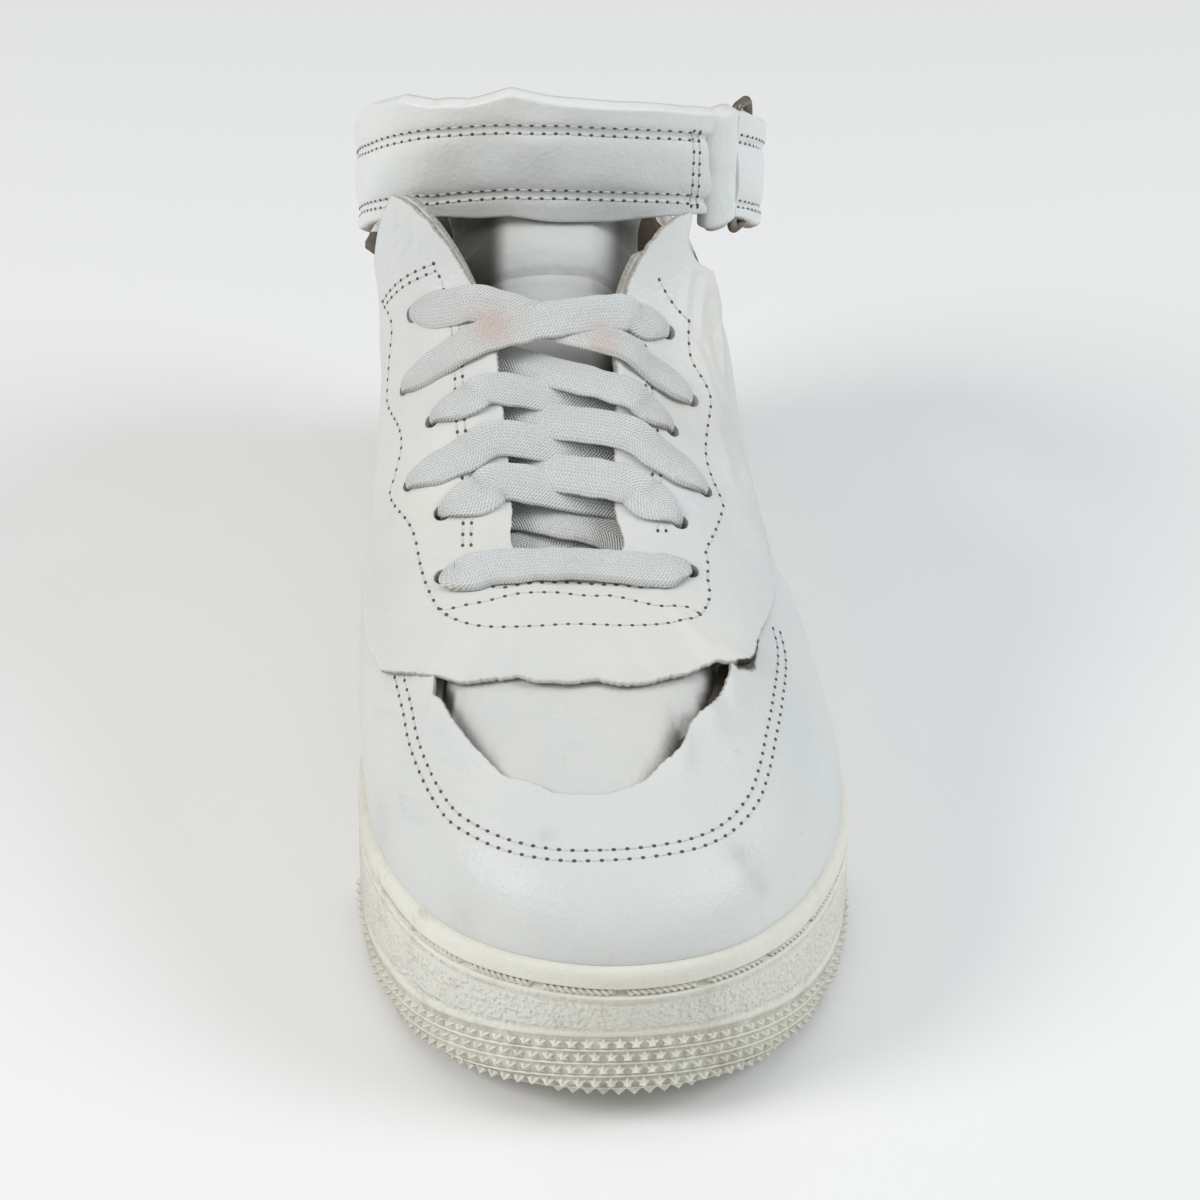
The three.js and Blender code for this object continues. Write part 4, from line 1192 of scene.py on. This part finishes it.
def make_leather_stitches():
    rows = [row_on(TOE_STITCH, toe_lift, shift) for shift in (-1.15, 1.15)]
    sew("toe_stitches", rows)
    rows = [row_on(STAY_STITCH_IN, stay_lift), row_on(STAY_STITCH_OUT, stay_lift)]
    rows += [row_on(path, stay_lift) for path in STAY_ROWS]
    rows.append(row_on(STAY_ROWS[0], stay_lift, 1.7))
    throat = [(4.95, 0.93), (4.6, 0.925), (4.2, 0.92), (3.8, 0.915), (3.4, 0.91), (3.0, 0.90), (2.6, 0.875)]
    throat_out = [(-4.8, 0.94), (-4.4, 0.935), (-4.0, 0.93), (-3.5, 0.93), (-3.0, 0.925), (-2.6, 0.92)]
    rows += [row_on(path, stay_lift, shift) for path in (throat, throat_out) for shift in (-0.9, 0.9)]
    sew("stay_stitches", rows)
    flat = lambda u, t: np.zeros(np.shape(u))
    heel = [row_on([(s, 0.1), (s, 0.35), (s, 0.6), (s, 0.76)], flat) for s in (8.86, 9.14)]
    collar_row = [(6.6, 0.74), (7.2, 0.75), (8, 0.76), (9, 0.76), (9.8, 0.76)]
    sew("heel_stitches", heel + [row_on(collar_row, flat)])


# ---- tongue ------------------------------------------------------------------------------


def make_tongue():
    """The tongue: sections across it, each an arch that drops to its sides, from the root to the
    padded top. A seam arc parts the flat lower panel from the padded upper one."""
    rows = np.array(TONGUE, float)
    fine = open_curve(rows, 150)
    x, y, z, half, thick = fine.T
    tangent = np.gradient(fine[:, 1:3], axis=0)
    tangent /= np.linalg.norm(tangent, axis=1, keepdims=True)
    normal = np.stack([np.zeros(len(x)), -tangent[:, 1], tangent[:, 0]], 1)
    across = 64
    w = np.linspace(-1, 1, across)[None]
    run = np.concatenate([[0], np.cumsum(np.linalg.norm(np.diff(fine[:, :3], axis=0), axis=1))])[:, None]
    seam_at = np.interp(20, y, run.ravel()) - 3.5 * w ** 2
    past = run - seam_at
    puff = 1.6 * smooth(past / 7) * (1 - 0.8 * smooth((run - run.max() + 8) / 8))
    seam = -1.3 * np.exp(-(past / 0.8) ** 2)
    lip = 0.5 * np.exp(-((past + 2.2) / 1.5) ** 2)
    shown = (smooth((y + 40) / 40) * smooth((40.5 - y) / 6))[:, None]
    half = half * (1 - 0.14 * shown[:, 0])
    arch = 0.22 * half[:, None] * np.abs(w) ** 2 + 7 * shown * smooth((np.abs(w) - 0.42) / 0.6)
    roll = thick[:, None] * 0.45 * np.abs(w) ** 10

    def face(sink, extra):
        place = np.stack([x[:, None] + half[:, None] * w, y[:, None] + 0 * w, z[:, None] + 0 * w], -1)
        return place - normal[:, None] * (sink + arch)[..., None] + normal[:, None] * extra[..., None]
    wave = 0.35 * ripple(np.stack([x[:, None] + half[:, None] * w, run + 0 * w], -1), 24, 51)
    front = face(roll, puff + seam + lip + wave)
    back = face(thick[:, None] - roll, 0 * w + 0 * run)[:, ::-1]
    rings = np.concatenate([front, back], 1)
    points, faces = loft(rings)
    # Painted shadow on the tongue's sides, where the ears and the throat shade it.
    here = x[:, None] + half[:, None] * w
    left, right = -17.5 + 0.05 * y[:, None], 4 + 0.12 * y[:, None]
    shade = smooth((left - here + 1.5) / 5) + smooth((here - right + 1.5) / 5)
    low = smooth((38 - y) / 4)[:, None]
    # A darker line along the seam; painted shade on the lower tongue under the laces and over the back face.
    dark = np.concatenate([0.7 * np.exp(-(past / 0.7) ** 2) + 0.25 * low * smooth((8 - y) / 10)[:, None] + 0 * w, 0.2 + 0 * (w + run)], 1)
    painted_gap_shadow = np.concatenate([0.88 * np.clip(shade, 0, 1) * low, 0 * (w + run)], 1)
    made = piece("padded_tongue", points, faces, [tongue_leather], ["tongue"],
                 {"grime_and_shade": dark.ravel(), "painted_gap_shadow": painted_gap_shadow.ravel()})
    return made, fine


# ---- ankle strap -------------------------------------------------------------------------


def strap_frame(s):
    """Middle of the strap and its outward direction at stations of the strap's own curve."""
    step = 1e-3
    along = (strap_at(s + step) - strap_at(s - step))
    flat = along[:, :2] / np.linalg.norm(along[:, :2], axis=1, keepdims=True)
    out = np.stack([flat[:, 1], -flat[:, 0], np.zeros(len(s))], 1)
    middle = strap_at(s)
    centre = np.array([0.0, 90.0, 0.0])
    away = np.sign(np.einsum("ij,ij->i", out, middle - centre))
    return middle, out * away[:, None]


STRAP_TOP = [
    (-5, 12.5), (-3, 12.5), (-2.2, 14), (-1.6, 14), (-1.35, 13), (-1, 12.8), (-0.4, 14.8), (0, 16.6),
    (0.35, 18.2), (0.7, 15.2), (1, 14.6), (1.35, 16.6), (1.8, 16.5), (2.4, 14), (3.2, 12.5), (5, 12.5),
]
STRAP_LOW = [
    (-5, 14), (-2, 14), (-1.3, 13.5), (-0.8, 14.2), (-0.4, 14.8), (0, 14), (0.35, 13.2), (0.8, 14.3), (5, 14),
]
ROW_TOP = [(-5, 6), (-2, 6.5), (-1.6, 5.9), (-1.15, 5.9), (-0.65, 7.2), (-0.05, 9.5), (0.35, 9.3), (0.85, 7.8),
           (1.3, 6.6), (1.85, 5.5), (5, 6)]
ROW_LOW = [(-5, -8.8), (-2, -8.8), (-1.6, -10.2), (-1.15, -10), (-0.65, -8.5), (-0.05, -6.5), (0.35, -6.6),
           (1, -9.2), (5, -9.2)]


def strap_shape(s):
    """Heights of the strap's top and bottom edges and of its two pairs of stitch rows, from its middle."""
    near = (np.asarray(s) + 5) % 10 - 5
    at = lambda rows: edge_at(rows)(near)
    wave = 0.25 * ripple(near, 0.8, 61, 5)
    return at(STRAP_TOP) + wave, -at(STRAP_LOW) + wave, at(ROW_TOP), at(ROW_LOW)


def cushion(rise, low, high, height):
    """A round-topped pad between two heights, nothing outside them."""
    return height * np.clip(1 - ((2 * rise - low - high) / (high - low)) ** 4, 0, 1) ** 0.6


def strap_bulge(s, rise):
    """Padding of the band: a cushion between the pairs of rows and a roll along each edge."""
    top, low, row_top, row_low = strap_shape(s)
    pad = (cushion(rise, row_low + 0.5, row_top - 0.5, 1.1) + cushion(rise, row_top + 0.5, top + 1.2, 1.1)
           + cushion(rise, low - 0.5, row_low - 0.5, 0.7) + 0.3 * np.exp(-((rise - row_top) / 0.7) ** 2)
           + 0.3 * np.exp(-((rise - row_low) / 0.7) ** 2))
    grid = np.stack(np.broadcast_arrays(np.asarray(s) * 30.0, rise), -1)
    return pad * (1 + 0.2 * ripple(grid, 30, 63)) + 0.3 * smooth(pad) * ripple(grid, 22, 64)


def strap_face(s, rise):
    """Point on the strap's outer face at a height above its middle, and the outward direction."""
    middle, out = strap_frame(s)
    point = middle + out * (1.62 + strap_bulge(s, rise))[:, None]
    point[:, 2] += rise
    return point, out


def make_strap(name, start, stop, columns, slot_node):
    """A band along the strap's curve: sections up the padded outer face, over the top, and down the
    flat inner face."""
    s = np.linspace(start, stop, columns)
    middle, out = strap_frame(s)
    top, low, _, _ = strap_shape(s)
    w = np.linspace(0, 1, 84)
    rise = low[:, None] + (top - low)[:, None] * w[None]
    bulge = strap_bulge(s[:, None], rise)
    edge = 1 - np.clip((np.abs(2 * w - 1) - 0.93) / 0.07, 0, 1) ** 2 * np.where(w < 0.5, 0.9, 0.75)
    outer = middle[:, None] + out[:, None] * ((1.6 + bulge) * edge[None])[..., None]
    outer[..., 2] += rise
    inner_w = np.linspace(1, 0, 14)
    inner_rise = low[:, None] + (top - low)[:, None] * inner_w[None]
    inner = middle[:, None] - out[:, None] * (1.6 * (1 - 0.6 * np.abs(2 * inner_w - 1) ** 8))[None, :, None]
    inner[..., 2] += inner_rise
    rings = np.concatenate([outer, inner], 1)
    points, faces = loft(rings)
    raw = np.zeros(rings.shape[:2])
    raw[:, 0] = 1
    raw[:, 1] = 0.5
    raw[:, -1] = 1
    stained = np.exp(-((s - 0.98) / 0.12) ** 2)[:, None] * np.exp(-((rise + 10.5) / 1.4) ** 2)
    grime_and_shade = np.zeros(rings.shape[:2])
    grime_and_shade[:, :84] = 0.45 * stained
    made = piece(name, points, faces, [soft_leather], [slot_node],
                 {"raw": raw.ravel(), "grime_and_shade": grime_and_shade.ravel() + 0.08 * smooth(ripple(points, 30, 65))})
    return made


def strap_row(start, stop, height):
    s = np.linspace(start, stop, max(int(abs(stop - start) * 60), 8))
    return strap_face(s, height(s))


def make_strap_stitches():
    end = -1.05
    top = lambda shift: lambda s: strap_shape(s)[2] + shift
    low = lambda shift: lambda s: strap_shape(s)[3] + shift
    rows = [strap_row(end, 4.9, line(shift)) for line in (top, low) for shift in (-1.05, 1.05)]
    for s in (end, end + 0.055):
        _, _, high_row, low_row = strap_shape(np.array([s]))
        rise = np.linspace(low_row[0] - 1.5, high_row[0] + 1.5, 40)
        rows.append(strap_face(np.full(40, s), rise))
    for height in (8.0, 6.0, -8.6, -10.4):
        rows.append(strap_row(7.9, 8.46, lambda s, height=height: np.full(len(s), height)))
    sew("strap_stitches", rows)


def make_fold():
    """The strap's end where it doubles back round the ring's front bar: a soft upright roll whose
    section is an oval that shrinks at both ends."""
    middle, out = strap_frame(np.array([-1.33, -1.30, -1.27]))
    heading = middle[2] - middle[0]
    heading[2] = 0
    heading /= np.linalg.norm(heading)
    turn = np.linspace(0, 2 * math.pi, 32, endpoint=False)[None]
    height = np.linspace(-16.6, 13.4, 70)[:, None]
    end = 1 - 0.45 * smooth((-height - 14.6) / 2.0) - 0.4 * smooth((height - 11.6) / 1.8)
    soft = 1 + 0.05 * ripple(np.concatenate([height, height * 0], 1), 9, 71)[:, None]
    a, b = 5.3 * end, 2.8 * end * soft
    flat = lambda v: np.sign(v) * np.abs(v) ** 0.8
    points = (middle[1] + (a * flat(np.cos(turn)))[..., None] * heading + (0.6 + b * flat(np.sin(turn)))[..., None] * out[1])
    points[..., 2] += height
    points, faces = loft(points)
    low = np.exp(-((points[:, 2] - points[:, 2].min()) / 1.4) ** 2)
    return piece("strap_fold", points, faces, [soft_leather], (),
                 {"raw": 0.7 * low, "grime_and_shade": 0.04 + 0.3 * low})


def make_ring():
    """The wire ring: a round wire along a rounded rectangle, upright in the strap's fold."""
    middle, out = strap_frame(np.array([8.33]))
    along = strap_at(8.36) - strap_at(8.30)
    along[2] = 0
    along /= np.linalg.norm(along)
    turn = np.linspace(0, 2 * math.pi, 96, endpoint=False)
    corner = lambda v: np.sign(v) * np.abs(v) ** 0.35
    centre = middle[0] + along * (corner(np.cos(turn)) * 3.6)[:, None]
    centre[:, 2] += corner(np.sin(turn)) * 15.6 + 0.4
    heading = np.roll(centre, -1, 0) - np.roll(centre, 1, 0)
    heading /= np.linalg.norm(heading, axis=1, keepdims=True)
    side = np.cross(heading, out[0])
    ring = np.linspace(0, 2 * math.pi, 12, endpoint=False)
    wire = centre[:, None] + 1.15 * (np.cos(ring)[None, :, None] * out[0] + np.sin(ring)[None, :, None] * side[:, None])
    points, faces = loft(wire, closed=True)
    return piece("strap_ring_wire", points, faces, [ring_metal], ["strap_ring"])


# ---- laces -------------------------------------------------------------------------------
ON_STAY = OVERLAY + GAP + 0.8


def on_stay(station, share, lift=ON_STAY):
    """Point and face direction above the lace leather's outer face, or inside when lift is negative."""
    u, t = np.array([float(station)]), np.array([float(share)])
    extra = stay_lift(u, np.minimum(t, 0.995)) - OVERLAY - GAP
    return np.concatenate([lifted(u, t, lift + extra * (lift > 0))[0], facing(u, t)[0]])


def ribbon(places, full_ends=(False, False), width=LACE_WIDTH):
    """A flat lace along places of (point, face direction): a flat rounded section carried along a
    Catmull-Rom curve, drawn together where it enters an eyelet."""
    steps, sides = 90, 18
    path = open_curve(places, steps)
    centre, up = path[:, :3], path[:, 3:]
    heading = np.gradient(centre, axis=0)
    heading /= np.linalg.norm(heading, axis=1, keepdims=True)
    across = np.cross(heading, up)
    across /= np.linalg.norm(across, axis=1, keepdims=True)
    up = np.cross(across, heading)
    run = np.concatenate([[0], np.cumsum(np.linalg.norm(np.diff(centre, axis=0), axis=1))])
    gather = np.ones(steps)
    if not full_ends[0]:
        gather *= 0.24 + 0.76 * np.sin(np.clip((run - 3.6) / 8.5, 0, 1) * math.pi / 2) ** 1.15
    if not full_ends[1]:
        gather *= 0.24 + 0.76 * np.sin(np.clip((run[-1] - run - 3.6) / 8.5, 0, 1) * math.pi / 2) ** 1.15
    wide = width / 2 * gather * (1 + 0.04 * ripple(run, 9, int(abs(centre[0, 0]) * 10)))
    thick = LACE_THICK / 2 * (1 + 0.7 * (1 - gather))
    turn = np.arange(sides) * 2 * math.pi / sides
    shape = lambda v, power: np.sign(v) * np.abs(v) ** power
    a, b = shape(np.cos(turn), 0.6), shape(np.sin(turn), 0.75)
    rings = (centre[:, None] + across[:, None] * (wide[:, None] * a)[..., None]
             + up[:, None] * (thick[:, None] * b - gather[:, None] * 0.3 * a ** 2)[..., None])
    points, faces = loft(rings)
    uv = np.stack([np.tile(0.5 + 0.5 * a, steps), np.repeat(run, sides)], 1)
    # Painted shadow along the toe-side edge, strongest where the lace gathers into an eyelet.
    toe_side = a[None] * across[:, 1:2] < -0.75
    edge = (toe_side * (0.35 + 0.65 * (1 - gather) / 0.8)[:, None]).ravel()
    return points, faces, uv, edge


def strand(start, end, near, far, over, high):
    """Lace places from one eyelet to the next row's: out of the hole and over the leather, across
    the throat's edge at station near, then over or under the far edge at station far to the far
    eyelet. high lifts the middle."""
    blend = lambda p, q, k: p + (q - p) * k

    def from_eyelet(eyelet, crossing):
        hole = on_stay(eyelet[0], eyelet[1] + 0.003, -2.6)
        hole[3:] = on_stay(blend(eyelet[0], crossing, 0.4), 0.95)[3:]
        return [hole, on_stay(blend(eyelet[0], crossing, 0.04), eyelet[1] + 0.012, ON_STAY - 0.3),
                on_stay(blend(eyelet[0], crossing, 0.62), blend(eyelet[1], 1, 0.66), ON_STAY),
                on_stay(crossing, 1.005, ON_STAY + 0.2)]
    places = from_eyelet(start, near)
    if over:
        beyond = from_eyelet(end, far)[::-1]
    else:
        beyond = [on_stay(far, 1.0, -3.6), on_stay(blend(far, end[0], 0.4), blend(1, end[1], 0.4), -WALL - 1.6),
                  on_stay(end[0], end[1], -WALL - 1.2)]
    middle = (places[-1] + beyond[0]) / 2
    middle[:3] += middle[3:] / np.linalg.norm(middle[3:]) * high
    return places + [middle] + beyond


def lace_piece(name, runs, node, stains=(), width=LACE_WIDTH):
    """Several ribbons as one piece that stands for the frame's joined strands."""
    made = [ribbon(places, ends, width) for places, ends in runs]
    points, faces, _ = join([(p, f) for p, f, _, _ in made])
    uv = np.vstack([m[2] for m in made])
    edge = np.concatenate([m[3] for m in made])
    stain = np.zeros(len(points))
    for place, radius, strength in stains:
        stain += strength * np.exp(-(np.linalg.norm(points - np.array(place), axis=1) / radius) ** 2)
    # The edge shares are painted shadow along each lace's toe-side edge.
    return piece(name, points, faces, [lace_weave], node, {"stain": stain, "grime_and_shade": edge}, None, uv)


# Where each strand crosses the throat's edges: (low row, near inner, far outer, near outer, far inner).
CROSSINGS = [(5, 2.74, -2.68, -2.72, 3.1), (4, 3.28, -3.22, -3.35, 3.7), (3, 3.85, -3.82, -3.8, 4.32),
             (2, 4.42, -4.72, -4.33, 4.75)]


def make_laces():
    inner, outer = EYELETS_IN[5], EYELETS_OUT[5]
    hole_in, hole_out = on_stay(inner[0], inner[1] + 0.004, -2.6), on_stay(outer[0], outer[1] + 0.004, -2.6)
    over_in = on_stay(inner[0] - 0.03, inner[1] + 0.010, ON_STAY - 0.3)
    over_out = on_stay(outer[0] + 0.03, outer[1] + 0.010, ON_STAY - 0.3)
    bar = [hole_in, over_in, on_stay(2.45, 0.82, ON_STAY), on_stay(2.05, 0.91, ON_STAY), on_stay(1.3, 0.975, ON_STAY + 0.2),
           on_stay(0.0, 1.0, ON_STAY + 0.8), on_stay(-1.2, 0.975, ON_STAY + 0.4), on_stay(-1.85, 0.93, ON_STAY + 0.2),
           on_stay(-2.25, 0.885, ON_STAY), over_out, hole_out]
    lace_piece("lace_row_6", [(bar, (False, False))], ["lace_bar"])
    for number, (low, near_in, far_out, near_out, far_in) in enumerate(CROSSINGS, 1):
        over = low == 2
        from_in = strand(EYELETS_IN[low - 1], EYELETS_OUT[low - 2], near_in, far_out, over, 2.4 if over else -0.4)
        from_out = strand(EYELETS_OUT[low - 1], EYELETS_IN[low - 2], near_out, far_in, over, 0.4 if over else 0.9)
        stains = [((-21, -10.5, 114), 5.0, 0.8), ((4, -13, 110.5), 4.5, 0.6)] if over else []
        lace_piece(f"lace_rows_{low - 1}_{low}", [(from_in, (False, not over)), (from_out, (False, not over))],
                   [f"lace_cross_{number}"], stains, (9.4, 8.5, 8.0, 8.8)[number - 1])


def make_under_laces():
    """The two strands that cross inside the throat, from the straight bar to the next row."""
    runs = []
    for start, end, near, far, drop in ((EYELETS_IN[5], EYELETS_OUT[4], 1.75, -2.45, -1.0),
                                        (EYELETS_OUT[5], EYELETS_IN[4], -2.0, 2.4, 1.6)):
        first, last = on_stay(*start, -WALL - 1.2), on_stay(*end, -WALL - 1.2)
        quarter, three = on_stay(near, 1.02, -4.0), on_stay(far, 1.02, -4.0)
        middle = (quarter + three) / 2
        middle[:3] += middle[3:] / np.linalg.norm(middle[3:]) * drop
        runs.append(([first, quarter, middle, three, last], (True, True)))
    lace_piece("lace_under", runs, (), width=8.5)


# ---- floor, light and camera -------------------------------------------------------------


def make_floor():
    mesh = bpy.data.meshes.new("floor")
    size = 8.0
    mesh.from_pydata([(-size, -size, 0), (size, -size, 0), (size, size, 0), (-size, size, 0)], [], [(0, 1, 2, 3)])
    f = Finish("floor_paint")
    mesh.materials.append(f.finish(f.mix(f.noise(1.5, 2), (0.86, 0.86, 0.86), (0.88, 0.88, 0.88)), 0.8))
    floor = bpy.data.objects.new("floor", mesh)
    bpy.context.scene.collection.objects.link(floor)


def make_light(name, place, size, watts, color=(1, 1, 1)):
    lamp = bpy.data.lights.new(name, "AREA")
    lamp.shape = "DISK"
    lamp.size = size
    lamp.energy = watts
    lamp.color = color
    made = bpy.data.objects.new(name, lamp)
    made.location = place
    aim = -np.array(place, float) + np.array([0, 0, 0.06])
    aim /= np.linalg.norm(aim)
    side = np.cross(aim, [0, 0, 1.0])
    side /= np.linalg.norm(side)
    up = np.cross(side, aim)
    made.matrix_world = Matrix((
        (side[0], up[0], -aim[0], place[0]), (side[1], up[1], -aim[1], place[1]),
        (side[2], up[2], -aim[2], place[2]), (0, 0, 0, 1)))
    bpy.context.scene.collection.objects.link(made)


def make_studio():
    make_floor()
    make_light("key", (-1.35, -0.45, 1.15), 0.9, 14.5, (1.0, 0.975, 0.94))
    make_light("fill", (1.35, -0.35, 1.15), 1.0, 12.5, (0.91, 0.97, 1.0))
    make_light("top", (0.0, -0.1, 1.8), 1.2, 3.2)
    world = bpy.data.worlds.new("studio")
    world.use_nodes = True
    world.node_tree.nodes["Background"].inputs["Color"].default_value = (0.98, 0.99, 1.0, 1)
    world.node_tree.nodes["Background"].inputs["Strength"].default_value = 0.45
    bpy.context.scene.world = world
    bpy.context.scene.view_settings.view_transform = "Standard"


def make_camera():
    """A camera in front of the toe and above it, a touch to the outer side, aimed at the shoe's
    middle and rolled slightly."""
    place = np.array([-0.0556, -0.7054, 0.4535])
    ahead = np.array([0.0035, -0.0130, 0.0432]) - place
    ahead /= np.linalg.norm(ahead)
    roll = math.radians(0.75)
    level = np.cross(ahead, [0, 0, 1.0])
    level /= np.linalg.norm(level)
    rise = np.cross(level, ahead)
    right = math.cos(roll) * level + math.sin(roll) * rise
    up = np.cross(right, ahead)
    lens = bpy.data.cameras.new("camera")
    lens.lens = 105.0
    lens.sensor_width = 36.0
    made = bpy.data.objects.new("camera", lens)
    made.matrix_world = Matrix((
        (right[0], up[0], -ahead[0], place[0]), (right[1], up[1], -ahead[1], place[1]),
        (right[2], up[2], -ahead[2], place[2]), (0, 0, 0, 1)))
    bpy.context.scene.collection.objects.link(made)
    bpy.context.scene.camera = made


# ---- the shoe ----------------------------------------------------------------------------
make_camera()
make_studio()
make_cup()
make_tread()
make_stars()
make_sole_stitches()
make_insole()
upper = make_upper()
make_toe()
stay = make_stay()
cutter = eyelet_cutter()
punch(upper, cutter)
punch(stay, cutter)
bpy.data.objects.remove(cutter)
make_leather_stitches()
make_tongue()
make_strap("ankle_strap", -1.42, 4.98, 440, "strap_front")
make_strap("ankle_strap_rear", 5.02, 8.52, 240, "strap_rear")
make_fold()
make_ring()
make_strap_stitches()
make_laces()
make_under_laces()

bpy.context.view_layer.update()
